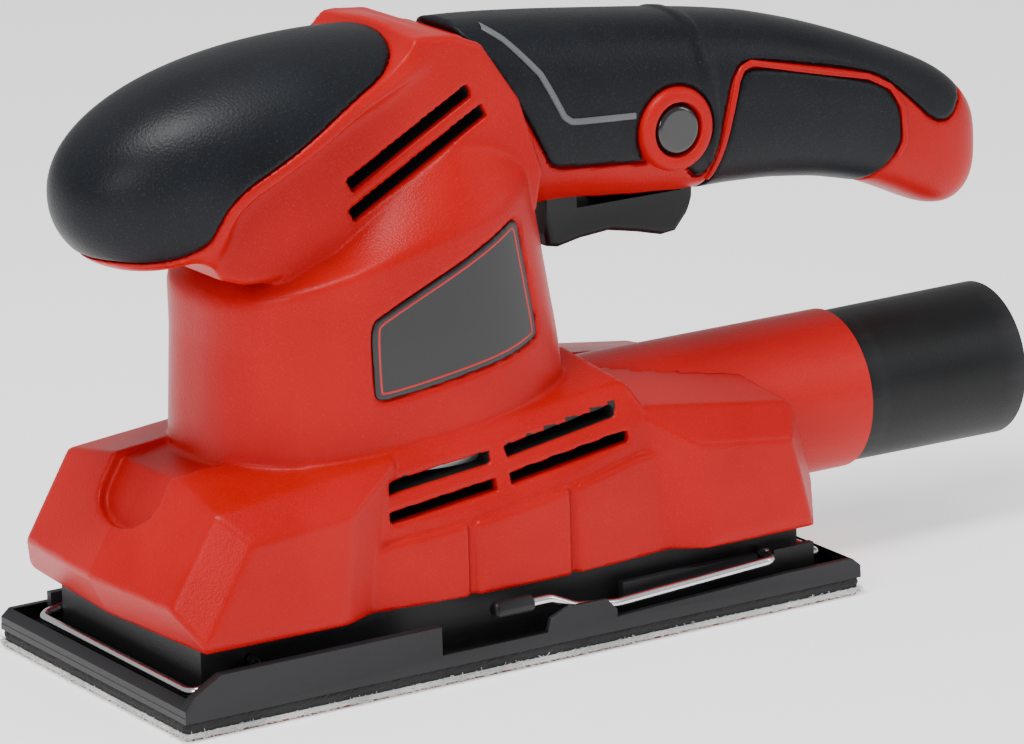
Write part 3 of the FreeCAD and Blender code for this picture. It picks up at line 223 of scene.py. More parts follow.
IN_F, IN_R = (-60, 5, 30), (62, 5, 30)
FRONT = [hs((-90.9, 34.9, 28.5), (-78.4, 35.5, 48.8), (-92.3, 14, 28.5), IN_F),
         hs((-90.9, 34.9, 28.5), (-92.3, 14, 28.5), (-87.5, 14, 18.6), IN_F),
         hs((-78.2, 35.5, 48.8), (-90.9, 34.9, 28.5), (-86.3, 42.3, 21.3), IN_F),
         hs((-78.2, 35.5, 48.8), (-72.5, 43, 42.8), (-46.4, 43, 44.9), IN_F),
         hs((-78.2, 35.5, 48.8), (-79.1, 14, 52.3), (-37.5, 34.5, 53.0), IN_F),
         hs((-46.4, 43, 44.9), (-49.6, 43, 20.0), (-36.0, 37.5, 39.4), IN_F),
         hs((-86.3, 43, 21.3), (-50, 43, 20.4), (-60, 42.0, 18.6), IN_F)]
REAR = [hs((79.6, 35.5, 48.8), (85.8, 36, 28.5), (79.6, 0, 48.8), IN_R),
        hs((85.8, 36, 28.5), (85.8, 0, 28.5), (82.5, 30, 18.6), IN_R),
        hs((75.5, 43, 41.8), (80.5, 43, 21.3), (85.6, 36, 28.5), IN_R),
        hs((47.5, 43, 45.2), (75.5, 43, 41.8), (79.6, 35.5, 48.8), IN_R),
        hs((79.6, 35.5, 48.8), (42.0, 35.5, 53.9), (78.5, 20, 51.0), IN_R),
        hs((48.5, 43, 45.0), (52.4, 43, 20.8), (40.2, 38, 48.0), IN_R),
        hs((52, 43, 20.8), (80, 43, 21.2), (60, 42.0, 18.6), IN_R)]
IN_M = (0, 0, 30)
MID = [hs((-30.4, 34.9, 50.6), (31.5, 34.9, 57.3), (0, 38.9, 38.9), IN_M),
       hs((-33, 32.6, 54.0), (31.0, 32.6, 60.3), (-30.4, 35.4, 50.9), IN_M),
       hs((-33, 32.6, 54.0), (31.0, 32.6, 60.3), (0, 15, 60.5), IN_M)]
MID_SLOTS = ((-32.7, 46.9, -4.7, 49.7), (-0.4, 50.2, 30.0, 54.9), (-33.0, 40.1, -4.0, 43.4), (-0.2, 43.9, 33.0, 48.6))
NECK_SLOTS = ((-32.0, 116.1, 1.3, 134.2), (-31.6, 109.0, 5.0, 128.9))
SCREWS = [(-72.0, 34.0), (-50.5, 72.0), (25.0, 72.0), (-34.0, 112.0), (20.0, 121.0), (104.0, 113.0)]
BADGE = [(-33.6, 84.3), (-31.6, 87.2), (0.8, 101.0), (8.8, 104.8), (10.9, 94.0), (14.6, 75.5), (13.4, 73.6), (4.0, 71.0),
         (-18.8, 67.8), (-29.6, 66.6), (-32.2, 66.9), (-33.0, 68.6)]
PALM = [(-110, 101.5), (-95, 104.8), (-88, 104.6), (-82, 104.2), (-75, 105.8), (-70.3, 109.0), (-68.6, 113.3), (-66.8, 117), (-62.3, 121.4),
        (-50.6, 127.4), (-34.2, 136.2), (-21.5, 141.1), (-14, 146), (-10.0, 156), (-60, 170), (-120, 150)]
LOWER = [(83.5, 127.3), (118, 119.0), (124.5, 115.5), (127.5, 110.3), (128.0, 102), (124.5, 96.5), (119, 90), (112, 80),
         (70, 80), (73.2, 100.5), (77.0, 114.7), (79.6, 124.0)]
UPPER = [(-2, 160), (-1.5, 150.8), (4.4, 146.3), (9, 141.0), (13.3, 134.2), (24.3, 114.8), (26.0, 111.6), (28.6, 110.0), (50, 108.3),
         (63, 106.6), (71.2, 99.5), (75.2, 115.5), (77.9, 125.6), (82.6, 129.2), (119.0, 120.7), (126.0, 116.6),
         (141.5, 102.5), (153.8, 113.5), (153.0, 130), (150, 160)]
LOCK = (61.0, 115.2)
PALM_S, UPPER_S, LOWER_S = smooth_poly(PALM, 2), smooth_poly(UPPER, 2), smooth_poly(LOWER, 2)
NECK = [(-69, 104), (-66, 99), (-60, 97), (-48, 96.5), (10, 99), (19.0, 103), (21.0, 112), (15, 130),
        (5, 144.5), (-2, 147.4), (-10, 148.2), (-22, 147.6), (-36, 139), (-52, 128.5), (-64, 118)]
HS = np.array([(8.0, 147.0, 101.0, 16.8), (20.0, 146.2, 99.9, 17.3), (35.0, 144.7, 99.4, 17.3), (52.0, 142.7, 97.6, 17.2),
               (66.0, 141.0, 96.6, 17.3), (80.0, 139.0, 96.8, 17.4), (94.0, 136.4, 96.2, 17.2), (108.0, 132.4, 94.4, 17.0),
               (121.0, 127.8, 91.3, 16.6), (132.0, 123.2, 86.6, 15.9), (141.0, 119.2, 82.2, 14.8), (148.0, 115.4, 81.0, 13.2),
               (153.0, 111.0, 83.2, 10.8), (156.4, 105.6, 87.6, 7.4)])


def smooth_table(col, sig=4.0):
    xs = np.arange(-20.0, 175.0, 0.5)
    ys = np.interp(xs, HS[:, 0], HS[:, col])
    k = np.exp(-0.5 * (np.arange(-24, 25) * 0.5 / sig) ** 2)
    k /= k.sum()
    pad_ = np.pad(ys, 24, mode="edge")
    return xs, np.convolve(pad_, k, mode="valid")


T_TOP, T_BOT, T_W = smooth_table(1, 3.5), smooth_table(2, 2.5), smooth_table(3, 2.5)


def handle_sd(x, y, z):
    zt, zb, w = np.interp(x, *T_TOP), np.interp(x, *T_BOT), np.interp(x, *T_W)
    d_ = sell(y, z - (zt + zb) / 2, w, (zt - zb) / 2, 2.7)
    # rounded tail and hidden front end
    tail = np.sqrt(((x - 140.0) / 17.0) ** 2 * 1.0) * 17.0 - 16.9
    d_ = smax(d_, x - 156.6, 5.0)
    return np.maximum(d_, 6.0 - x)


def egg_sd(x, y, z, off=0.0):
    a = math.radians(3.3)
    ux, uz = x + 34.0, z - 120.4
    q = ux * math.cos(a) + uz * math.sin(a)
    r = -ux * math.sin(a) + uz * math.cos(a)
    n = 2.15
    A, B, C = 62.4, 31.0, 27.9
    qa, rb, yb = (np.abs(q) + 1e-3), (np.abs(r) + 1e-3), (np.abs(y) + 1e-3)
    ta, tb, tc = (qa / A) ** n, (yb / B) ** n, (rb / C) ** n
    F = (ta + tb + tc) ** (1 / n)
    g = np.sqrt((ta / qa) ** 2 + (tb / yb) ** 2 + (tc / rb) ** 2) * F ** (1 - n)
    return (F - 1) / g - off


def column_sd(x, y, z):
    a = np.interp(z, [50, 62, 80, 107, 120], [49.0, 48.0, 45.2, 42.6, 42.0])
    b = np.interp(z, [50, 62, 80, 107], [32.0, 32.2, 32.8, 33.2])
    cx = np.interp(z, [50, 62, 80, 107, 120], [-16.0, -16.2, -17.6, -20.0, -20.4])
    d1 = sell(x - cx, y, a, b, 2.7)
    z1 = 107.0 + 0.25 * x
    z2 = np.where(x < -5, 105.0 + 0.65 * (x + 32.0), 122.5 + 0.1 * (x + 5))
    z2 = np.maximum(z2, z1 + 4.0)
    t_ = (z - z1) / (z2 - z1)
    # sloped shoulder from the crease inwards to the neck, as a cone over the section
    inset = np.clip(t_, -2.0, 1.6)
    aa, bb = 42.6 - 3.5 * inset, 33.2 - 11.2 * inset
    d2 = sell(x + 20.0 - 1.5 * inset, y, np.maximum(aa, 5), np.maximum(bb, 5), 2.7)
    slope = 11.2 / (z2 - z1)
    d2 = d2 / np.sqrt(1 + slope * slope)
    cap = (z - z2) * 0.8
    return smaxs(1.2, smax(d1, d2, 1.4), cap)


def rot_box(x, z, xa, za, xb, zb, half):
    """2D distance to a round-ended slot of the given half height."""
    ex, ez = xb - xa, zb - za
    t_ = np.clip(((x - xa) * ex + (z - za) * ez) / (ex * ex + ez * ez), 0, 1)
    L_ = math.hypot(ex, ez)
    u = ((x - xa) * ex + (z - za) * ez) / L_
    v = (-(x - xa) * ez + (z - za) * ex) / L_
    du = np.abs(u - L_ / 2) - L_ / 2
    dv = np.abs(v) - half
    return np.minimum(np.maximum(du, dv), 0) + np.sqrt(np.maximum(du, 0) ** 2 + np.maximum(dv, 0) ** 2)


def body_sd(x, y, z):
    """Outer form, one side: y is the distance from the mid plane."""
    f = smaxs(0.7, *[p(x, y, z) for p in FRONT], y - 43.0, x + 30.0)
    # sunken strip along the middle of the front block, which leaves the column and nose alone
    f = smax(f, -front_strip(x, y, z), 0.8)
    r = smaxs(0.7, *[p(x, y, z) for p in REAR], y - 43.0, 36.0 - x)
    yb = 39.1 - x * x / 560.0
    m = smaxs(0.8, y - yb, *[p(x, y, z) for p in MID], (x - 36.5) * 0.876 + (z - 57.5) * 0.482, -50.0 - x)
    # three raised panels
    zt = np.interp(x, [-40, -14, -11.5, 14.3, 16.4, 34.8], [34.0, 36.1, 36.1, 39.8, 39.9, 43.4])
    for x0, x1 in ((-41.5, -13.6), (-11.9, 14.6), (16.2, 46.0)):
        pnl = smaxs(1.2, y - (40.5 - x * x / 560.0), z - zt, x0 - x, x - x1)
        m = smin(m, pnl, 0.4)
    sk = smin(smin(f, m, 0.5), r, 0.5)
    sk = smax(sk, 18.6 - z, 0.6)
    c = np.maximum(column_sd(x, y, z), 45.0 - z)
    nk = smaxs(2.0, poly_sd(NECK, x, z), y - 21.9 + 0 * x)
    e = smaxs(2.5, egg_sd(x, y, z), poly_sd(PALM_S, x, z) - 3.6)
    h = handle_sd(x, y, z)
    top = smin(smin(nk, e, 5.0), h, 3.0)
    up = smin(c, top, 1.0)
    return smin(sk, up, 1.0)


def front_strip(x, y, z):
    """Sunken channel, |y| < 13, along the top of the front block and down its face, ending in a rounded step."""
    n = np.array([-20.3, 0.0, 12.6])
    n /= np.linalg.norm(n)
    depth = (x + 78.9) * n[0] + (z - 50.5) * n[2]
    v = (x + 78.9) * n[2] - (z - 50.5) * n[0]        # runs up the face
    top = z - (52.3 + 0.12 * (x + 79.0)) + 1.6       # floor of the part on top
    low = -13.0
    q = np.minimum(v - (low + 9.0), 0.0)
    side = np.sqrt(q * q * (13.2 / 9.0) ** 2 + y * y) - 13.2
    floor_ = np.maximum(depth + 2.6, top)
    return smaxs(1.0, side, -floor_, x + 55.0)


def red_half(left):
    upper, lower, palm, badge = (smooth_poly(p, 2) for p in (UPPER, LOWER, PALM, BADGE))

    def fn(x, y, z):
        yy = np.abs(y)
        d0 = body_sd(x, yy, z)
        hd = handle_sd(x, yy, z)
        eg = egg_sd(x, yy, z)
        d_ = d0
        pu, pl, pp, pb = (poly_sd(q, x, z) for q in (upper, lower, palm, badge))
        if left:
            lk = np.sqrt((x - LOCK[0]) ** 2 + (z - LOCK[1]) ** 2)
            pu = np.maximum(pu, 10.2 - lk)
        # soft parts are let in flush, with a fine groove round them
        d_ = smax(d_, -np.maximum(pu - 0.25, -(np.maximum(hd, d0) + 1.7)), 0.4)
        d_ = smax(d_, -np.maximum(pl - 0.25, -(hd + 1.7)), 0.4)
        d_ = smax(d_, -np.maximum(pp - 0.25, -(eg + 2.2)), 0.4)
        d_ = smax(d_, -np.maximum(pb - 0.2, -(d0 + 1.0) + 0 * x), 0.5)
        for s_ in MID_SLOTS:
            d_ = smax(d_, -np.maximum(rot_box(x, z, *s_, 1.5), 24.0 - yy), 0.5)
        for s_ in NECK_SLOTS:
            d_ = smax(d_, -np.maximum(rot_box(x, z, *s_, 1.8), 12.0 - yy), 0.5)
        # open underside, trigger slot, inlet seat
        cav = smaxs(2.0, np.abs(x + 2.5) - 80.5, yy - np.where(np.abs(x) < 50, 33.5, 36.5), z - 32.0)
        d_ = np.maximum(d_, -cav)
        d_ = np.maximum(d_, -np.maximum(np.maximum(np.abs(x - 50.9) - 21.4, yy - 8.4), z - 110.5))
        d_ = np.maximum(d_, -np.maximum(np.sqrt(yy ** 2 + (z - 97.0) ** 2) - 6.6, 142.5 - x))
        d_ = np.maximum(d_, -np.maximum(np.sqrt(yy ** 2 + (z - 38.2) ** 2) - 20.05, 39.8 - x))
        if left:
            d_ = np.maximum(d_, -np.maximum(lk - 6.5, 6.5 - yy))
        else:
            for sx, sz in SCREWS:
                d_ = smax(d_, -np.maximum(np.sqrt((x - sx) ** 2 + (z - sz) ** 2) - 3.4, 10.5 - yy), 0.5)
        return d_
    return fn


def sdf_mesh(name, fn, lo, hi, vox, body, mats, face_mat=None, project=3, side=0):
    """Meshes the zero level of fn (mm) and moves each vertex onto it."""
    import openvdb as vdb
    lo, hi = np.array(lo, float), np.array(hi, float)
    shp = np.ceil((hi - lo) / vox).astype(int) + 1
    out = np.empty(shp, np.float32)
    Y, Z = np.meshgrid(lo[1] + vox * np.arange(shp[1]), lo[2] + vox * np.arange(shp[2]), indexing="ij")
    step = 12
    for i in range(0, shp[0], step):
        xs = lo[0] + vox * np.arange(i, min(i + step, shp[0]))
        X = xs[:, None, None] + 0 * Y[None]
        out[i:i + len(xs)] = fn(X, np.broadcast_to(Y[None], X.shape), np.broadcast_to(Z[None], X.shape))
    out = np.clip(out, -3 * vox, 3 * vox)
    g = vdb.FloatGrid(3 * vox)
    g.copyFromArray(out)
    pts, tris, quads = g.convertToPolygons(isovalue=0.0, adaptivity=0.0)
    P = pts.astype(float) * vox + lo
    e = 0.12

    def f1(Q):
        r = np.empty(len(Q))
        for i in range(0, len(Q), 60000):
            q = Q[i:i + 60000]
            r[i:i + 60000] = fn(q[:, 0], q[:, 1], q[:, 2])
        return r
    for _ in range(project):
        v0 = f1(P)
        gx = (f1(P + (e, 0, 0)) - f1(P - (e, 0, 0))) / (2 * e)
        gy = (f1(P + (0, e, 0)) - f1(P - (0, e, 0))) / (2 * e)
        gz = (f1(P + (0, 0, e)) - f1(P - (0, 0, e))) / (2 * e)
        G = np.stack([gx, gy, gz], 1)
        g2 = np.maximum((G * G).sum(1), 0.15)
        mv = -(v0 / g2)[:, None] * G
        ln = np.linalg.norm(mv, axis=1, keepdims=True)
        P += mv * np.minimum(1.0, 0.45 * vox / np.maximum(ln, 1e-9))
    me = bpy.data.meshes.new(name)
    if side:
        # a half: faces beyond the mid plane go, the edge is brought onto it
        near = np.abs(P[:, 1]) < 0.3 * vox
        P[near, 1] = side * 0.01
        quads = quads[(P[quads][:, :, 1].mean(1) * side) > 0]
        tris = tris[(P[tris][:, :, 1].mean(1) * side) > 0] if len(tris) else tris
        used = np.zeros(len(P), bool)
        used[quads.ravel()] = True
        if len(tris):
            used[tris.ravel()] = True
        remap = np.cumsum(used) - 1
        quads, tris, P = remap[quads], (remap[tris] if len(tris) else tris), P[used]
    faces = [tuple(q[::-1]) for q in quads.tolist()] + [tuple(q[::-1]) for q in tris.tolist()]
    me.from_pydata((P * 0.001).tolist(), [], faces)
    me.update()
    me.polygons.foreach_set("use_smooth", [True] * len(me.polygons))
    ob = bpy.data.objects.new(name, me)
    bpy.context.scene.collection.objects.link(ob)
    for m_ in mats:
        me.materials.append(m_)
    if face_mat is not None:
        c = np.empty(len(me.polygons) * 3)
        me.polygons.foreach_get("center", c)
        me.polygons.foreach_set("material_index", face_mat(c.reshape(-1, 3) * 1000).astype(np.int32))
    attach(ob, body)
    print(name, "faces", len(me.polygons))
    return ob


def painted_shade_faces(c):
    """1 for faces well down inside a vent slot or inside the open underside, which get the near-black painted shade."""
    x, y, z = c[:, 0], np.abs(c[:, 1]), c[:, 2]
    r = np.zeros(len(c), int)
    for s_ in MID_SLOTS:
        r |= ((rot_box(x, z, *s_, 1.5) < 0.7) & (y < 35.0)).astype(int)
    for s_ in NECK_SLOTS:
        r |= ((rot_box(x, z, *s_, 1.8) < 0.7) & (y < 20.0)).astype(int)
    r |= ((z < 34) & (z > 18.9) & (y < 37) & (np.abs(x + 2.5) < 81.5) & (y > 0.5)).astype(int)
    return r


VX = 1.0
# second material is painted shade, laid on the faces deep in the vent slots and inside the open underside
red_mats = [M["red_plastic"], M["inside"]]
hl = sdf_mesh("housing_shell_left", red_half(True), (-99, -46.5, 15), (160, 2, 153), VX, "housing", red_mats, painted_shade_faces, side=-1)
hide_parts("housing_left")
hr = sdf_mesh("housing_shell_right", red_half(False), (-99, -1.5, 15), (160, 46, 153), VX, "housing", red_mats, painted_shade_faces, side=1)
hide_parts("housing_right")


# soft grips
def palm_fn(x, y, z):
    eg = egg_sd(x, y, z, 0.1)
    pp = poly_sd(PALM_S, x, z)
    return smaxs(0.9, eg, pp + 0.1, -(eg + 2.0))


pg = sdf_mesh("palm_pad", palm_fn, (-99, -34, 88), (-4, 34, 152), 0.9, "housing", [M["soft_grip"]])
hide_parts("palm_grip")


def upper_fn(sgn):
    def fn(x, y, z):
        yy = y * sgn
        hd = np.minimum(handle_sd(x, np.abs(y), z), smaxs(2.0, poly_sd(NECK, x, z), np.abs(y) - 21.9)) - 0.12
        hd = smin(handle_sd(x, np.abs(y), z), smaxs(2.0, poly_sd(NECK, x, z), np.abs(y) - 21.9), 3.0) - 0.12
        # collar: a low raised band round the grip
        band = np.abs((x - 69.5) + 0.10 * (z - 140)) - 1.3
        hd = np.where(z > 104, hd - 0.45 * np.clip(1 - np.maximum(band, 0) / 0.8, 0, 1), hd)
        pu = poly_sd(UPPER_S, x, z)
        if sgn < 0:
            lk = np.sqrt((x - LOCK[0]) ** 2 + (z - LOCK[1]) ** 2)
            pu = np.maximum(pu, 10.4 - lk)
        return smaxs(1.1, hd, pu + 0.1, -(hd + 1.5))
    return fn


def lower_fn(sgn):
    def fn(x, y, z):
        hd = handle_sd(x, np.abs(y), z) - 0.25
        return smaxs(1.1, hd, poly_sd(LOWER_S, x, z) + 0.1, -(hd + 1.6))
    return fn


for sgn, side in ((-1, "left"), (1, "right")):
    ylo, yhi = (-24.75, 1.2) if sgn < 0 else (-1.35, 24)
    u = sdf_mesh("upper_grip_" + side, upper_fn(sgn), (-6, ylo, 92), (160, yhi, 153), 0.9, "housing", [M["soft_grip"]], side=sgn)
    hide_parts("handle_grip_" + side)
    u = sdf_mesh("finger_grip_" + side, lower_fn(sgn), (66, ylo, 76), (131, yhi, 132), 0.9, "housing", [M["soft_grip"]], side=sgn)
    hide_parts("lower_grip_" + side)

# badges: plain black plates, slightly sunk, with a thin red line inside the edge
BADGE_S = smooth_poly(BADGE, 2)


def badge_fn(sgn):
    def fn(x, y, z):
        c = column_sd(x, np.abs(y), z) + 0.35
        return smaxs(0.5, c, poly_sd(BADGE_S, x, z) + 0.2, -(c + 0.9), 20.0 - y * sgn)
    return fn


def surface_y(fn, x, z, y0=46.0, y1=5.0):
    """Outermost |y| where fn turns negative, by marching and bisection."""
    x, z = np.asarray(x, float), np.asarray(z, float)
    ys = np.arange(y0, y1, -0.5)
    hit = np.full(x.shape, y1)
    done = np.zeros(x.shape, bool)
    for y in ys:
        v = fn(x, np.full(x.shape, y), z)
        new = (v < 0) & ~done
        hit[new] = y
        done |= new
    lo, hi = hit.copy(), hit + 0.5
    for _ in range(12):
        mid_ = (lo + hi) / 2
        neg = fn(x, mid_, z) < 0
        lo = np.where(neg, mid_, lo)
        hi = np.where(neg, hi, mid_)
    return lo


def resample(pts, step, closed):
    P = np.array(pts, float)
    if closed:
        P = np.vstack([P, P[:1]])
    s = np.r_[0, np.cumsum(np.linalg.norm(np.diff(P, axis=0), axis=1))]
    n = max(4, int(s[-1] / step))
    t_ = np.linspace(0, s[-1], n, endpoint=not closed)
    return np.stack([np.interp(t_, s, P[:, 0]), np.interp(t_, s, P[:, 1])], 1)


def strip(name, pts, width, sgn, fn, proud, mat, body, closed=False):
    """Crowned line laid on the surface of fn along a path in XZ."""
    C = resample(pts, 0.7, closed)
    if closed:
        T = np.roll(C, -1, 0) - np.roll(C, 1, 0)
    else:
        T = np.gradient(C, axis=0)
    T /= np.maximum(np.linalg.norm(T, axis=1, keepdims=True), 1e-9)
    Nn = np.stack([-T[:, 1], T[:, 0]], 1)
    prof = [(-0.5, -0.25), (-0.42, 0.6), (-0.2, 0.95), (0.2, 0.95), (0.42, 0.6), (0.5, -0.25)]
    rows = []
    for u, h in prof:
        q = C + Nn * (u * width)
        y = surface_y(fn, q[:, 0], q[:, 1]) + proud * h
        rows.append(np.stack([q[:, 0], sgn * y, q[:, 1]], 1))
    V_ = np.stack(rows, 1)
    n, m_ = V_.shape[:2]
    vs = (V_.reshape(-1, 3) * 0.001).tolist()
    fs = []
    rng_ = n if closed else n - 1
    for i in range(rng_):
        j = (i + 1) % n
        for k in range(m_ - 1):
            f = (i * m_ + k, i * m_ + k + 1, j * m_ + k + 1, j * m_ + k)
            fs.append(f if sgn < 0 else f[::-1])
    me = bpy.data.meshes.new(name)
    me.from_pydata(vs, [], fs)
    me.update()
    me.polygons.foreach_set("use_smooth", [True] * len(me.polygons))
    me.materials.append(mat)
    ob = bpy.data.objects.new(name, me)
    bpy.context.scene.collection.objects.link(ob)
    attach(ob, body)
    return ob


def inset_poly(pts, dist):
    """Polygon moved inwards by dist, by its edge normals."""
    P = np.array(pts, float)
    area = 0.5 * np.sum(P[:, 0] * np.roll(P[:, 1], -1) - np.roll(P[:, 0], -1) * P[:, 1])
    sg = 1 if area > 0 else -1
    out = []
    n = len(P)
    for i in range(n):
        a, b, c = P[i - 1], P[i], P[(i + 1) % n]
        e1, e2 = b - a, c - b
        n1 = np.array([-e1[1], e1[0]]) * sg / max(np.linalg.norm(e1), 1e-9)
        n2 = np.array([-e2[1], e2[0]]) * sg / max(np.linalg.norm(e2), 1e-9)
        m_ = n1 + n2
        m_ /= max(m_ @ n1, 0.3)
        out.append(b + m_ * dist)
    return out


for sgn, side in ((-1, "left"), (1, "right")):
    ylo, yhi = (-38, -22) if sgn < 0 else (22, 38)
    bd = sdf_mesh("badge_plate_" + side, badge_fn(sgn), (-36, ylo, 64), (17, yhi, 107), 0.6, "housing", [M["badge_black"]])
    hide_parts("badge_" + side)
    strip("badge_line_" + side, inset_poly(BADGE_S, 1.9), 0.55, sgn, lambda x, y, z: column_sd(x, y, z) + 0.35, 0.09,
          M["red_line"], "housing", closed=True)
    strip("grip_line_" + side, [(12.6, 145.6), (16.2, 142.6), (23.8, 133.8), (29.6, 122.8), (31.6, 121.3), (34, 121.0), (49.5, 120.1)], 1.7, sgn,
          lambda x, y, z: smin(handle_sd(x, y, z), smaxs(2.0, poly_sd(NECK, x, z), y - 21.9), 3.0) - 0.12, 0.55, M["grey_line"], "housing")

    strip("grip_rim_" + side, [(72.6, 100.2), (76.3, 114.9), (78.9, 124.3), (80.6, 127.0), (83.6, 128.0), (100, 123.9), (118.2, 119.6), (125.0, 116.0), (128.2, 110.5),
                               (128.7, 102), (126.8, 98.5)], 1.5, sgn, lambda x, y, z: handle_sd(x, y, z) - 0.2, 0.42, M["red_plastic"], "housing")

# raised ring round the lock button, turned profile
prof = [(6.6, -11.4), (6.6, -18.3), (6.9, -18.9), (7.5, -19.1), (8.8, -19.0), (9.7, -18.5), (10.2, -17.6), (10.2, -15.0)]
seg = 72
vs, fs = [], []
for i in range(seg):
    a = 2 * math.pi * i / seg
    for r_, y_ in prof:
        vs.append(((LOCK[0] + r_ * math.cos(a)) * 1e-3, y_ * 1e-3, (LOCK[1] + r_ * math.sin(a)) * 1e-3))
m_ = len(prof)
for i in range(seg):
    j = (i + 1) % seg
    for k in range(m_ - 1):
        fs.append((i * m_ + k, i * m_ + k + 1, j * m_ + k + 1, j * m_ + k))
me = bpy.data.meshes.new("lock_ring")
me.from_pydata(vs, [], fs)
me.update()
me.polygons.foreach_set("use_smooth", [True] * len(me.polygons))
me.materials.append(M["red_plastic"])
ring = bpy.data.objects.new("lock_ring", me)
bpy.context.scene.collection.objects.link(ring)
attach(ring, "housing")


# foam, hook layer and abrasive
def layer(name, z0, z1, mat, body, node, jitter, inset=0.0, bulge=0.0):
    hx, hy, r_ = 93.5 - inset, 45.0 - inset, 1.6
    path = []
    for cx, cy, a0 in ((hx - r_, hy - r_, 0), (-hx + r_, hy - r_, 90), (-hx + r_, -hy + r_, 180), (hx - r_, -hy + r_, 270)):
        for k in range(6):
            a = math.radians(a0 + 18 * k)
            path.append((cx + r_ * math.cos(a), cy + r_ * math.sin(a)))
    C = resample(path, 0.9, True)
    n = len(C)
    T = np.roll(C, -1, 0) - np.roll(C, 1, 0)
    T /= np.linalg.norm(T, axis=1, keepdims=True)
    O = np.stack([T[:, 1], -T[:, 0]], 1)
    prof_ = [(-0.5, 0.0), (-0.12, 0.0), (0.0, 0.12), (0.0 + bulge * 0.7, 0.35), (bulge, 0.5), (bulge * 0.7, 0.65), (0.0, 0.88), (-0.12, 1.0), (-0.5, 1.0)]
    R_ = []
    for u, t_ in prof_:
        jit = rng.normal(0, jitter, n) if -0.3 < u else np.zeros(n)
        jit = np.clip(jit, -2.2 * jitter, 2.2 * jitter)
        q = C + O * (u + jit)[:, None]
        R_.append(np.stack([q[:, 0], q[:, 1], np.full(n, z0 + (z1 - z0) * t_)], 1))
    V_ = np.stack(R_, 1)
    m2 = len(prof_)
    vs_ = (V_.reshape(-1, 3) * 1e-3).tolist()
    fs_ = []
    for i in range(n):
        j = (i + 1) % n
        for k in range(m2 - 1):
            fs_.append((i * m2 + k, j * m2 + k, j * m2 + k + 1, i * m2 + k + 1))
    me_ = bpy.data.meshes.new(name)
    me_.from_pydata(vs_, [], fs_)
    bm = bmesh.new()
    bm.from_mesh(me_)
    bm.verts.ensure_lookup_table()
    holes_ = []
    for zz, row, flip in ((z0, 0, True), (z1, m2 - 1, False)):
        bm.verts.ensure_lookup_table()
        outer_v = [bm.verts[i * m2 + row] for i in range(n)]
        rings_ = []
        for ix in (-66, -22, 22, 66):
            for iy in (-24, 24):
                rv = [bm.verts.new(((ix + 4.5 * math.cos(2 * math.pi * k / 28)) * 1e-3, (iy + 4.5 * math.sin(2 * math.pi * k / 28)) * 1e-3, zz * 1e-3)) for k in range(28)]
                rings_.append(rv)
        edges_ = []
        for lst in [outer_v] + rings_:
            for k in range(len(lst)):
                e_ = bm.edges.get((lst[k], lst[(k + 1) % len(lst)])) or bm.edges.new((lst[k], lst[(k + 1) % len(lst)]))
                edges_.append(e_)
        bmesh.ops.triangle_fill(bm, use_beauty=True, use_dissolve=False, edges=edges_, normal=(0, 0, -1 if flip else 1))
        holes_.append(rings_)
    for ra, rb in zip(*holes_):
        for k in range(28):
            l_ = (k + 1) % 28
            bm.faces.new((ra[k], rb[k], rb[l_], ra[l_]))
    bmesh.ops.recalc_face_normals(bm, faces=bm.faces)
    bm.to_mesh(me_)
    bm.free()
    me_.materials.append(mat)
    ob_ = bpy.data.objects.new(name, me_)
    bpy.context.scene.collection.objects.link(ob_)
    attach(ob_, body)
    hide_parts(node)
    return ob_


foam = layer("foam_backing", 1.75, 4.35, M["foam"], "platen", "foam_pad", 0.07, 0.25, 0.25)
hook = layer("hook_backing", 0.6, 1.8, M["hook"], "platen", "hook_layer", 0.10, 0.1, 0.1)
abras = layer("abrasive_layer", 0.0, 0.6, M["abrasive"], "platen", "sanding_sheet", 0.02, 0.35, 0.0)

# loose fibres along the edge of the hook layer
vs, fs = [], []
hx, hy = 93.4, 44.9
per = 4 * (hx + hy)
for i in range(5200):
    s = rng.uniform(0, per)
    if s < 2 * hx:
        p, o_ = np.array([s - hx, -hy]), np.array([0, -1.0])
    elif s < 2 * hx + 2 * hy:
        p, o_ = np.array([hx, s - 2 * hx - hy]), np.array([1.0, 0])
    elif s < 4 * hx + 2 * hy:
        p, o_ = np.array([hx - (s - 2 * hx - 2 * hy), hy]), np.array([0, 1.0])
    else:
        p, o_ = np.array([-hx, hy - (s - 4 * hx - 2 * hy)]), np.array([-1.0, 0])
    z = rng.uniform(0.55, 1.85)
    L_ = rng.uniform(0.35, 1.25)
    tdir = np.array([-o_[1], o_[0]])
    a = np.array([*(p - o_ * 0.3), z])
    mid_ = np.array([*(p + o_ * L_ * 0.55 + tdir * rng.normal(0, 0.3)), z + rng.normal(0.0, 0.25)])
    b_ = np.array([*(p + o_ * L_ * 0.9 + tdir * rng.normal(0, 0.6)), max(0.1, z + rng.normal(-0.05, 0.45))])
    w_ = 0.055
    k = len(vs)
    for q in (a, mid_, b_):
        vs.append(tuple((q + np.array([*(tdir * w_), 0])) * 1e-3))
        vs.append(tuple((q - np.array([*(tdir * w_), 0])) * 1e-3))
        vs.append(tuple((q + np.array([0, 0, w_ * 1.6])) * 1e-3))
    for s0 in (0, 3):
        for c0, c1 in ((0, 1), (1, 2), (2, 0)):
            fs.append((k + s0 + c0, k + s0 + c1, k + s0 + 3 + c1, k + s0 + 3 + c0))
me = bpy.data.meshes.new("hook_fibres")
me.from_pydata(vs, [], fs)
me.update()
me.materials.append(M["hook"])
fib = bpy.data.objects.new("hook_fibres", me)
bpy.context.scene.collection.objects.link(fib)
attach(fib, "platen")

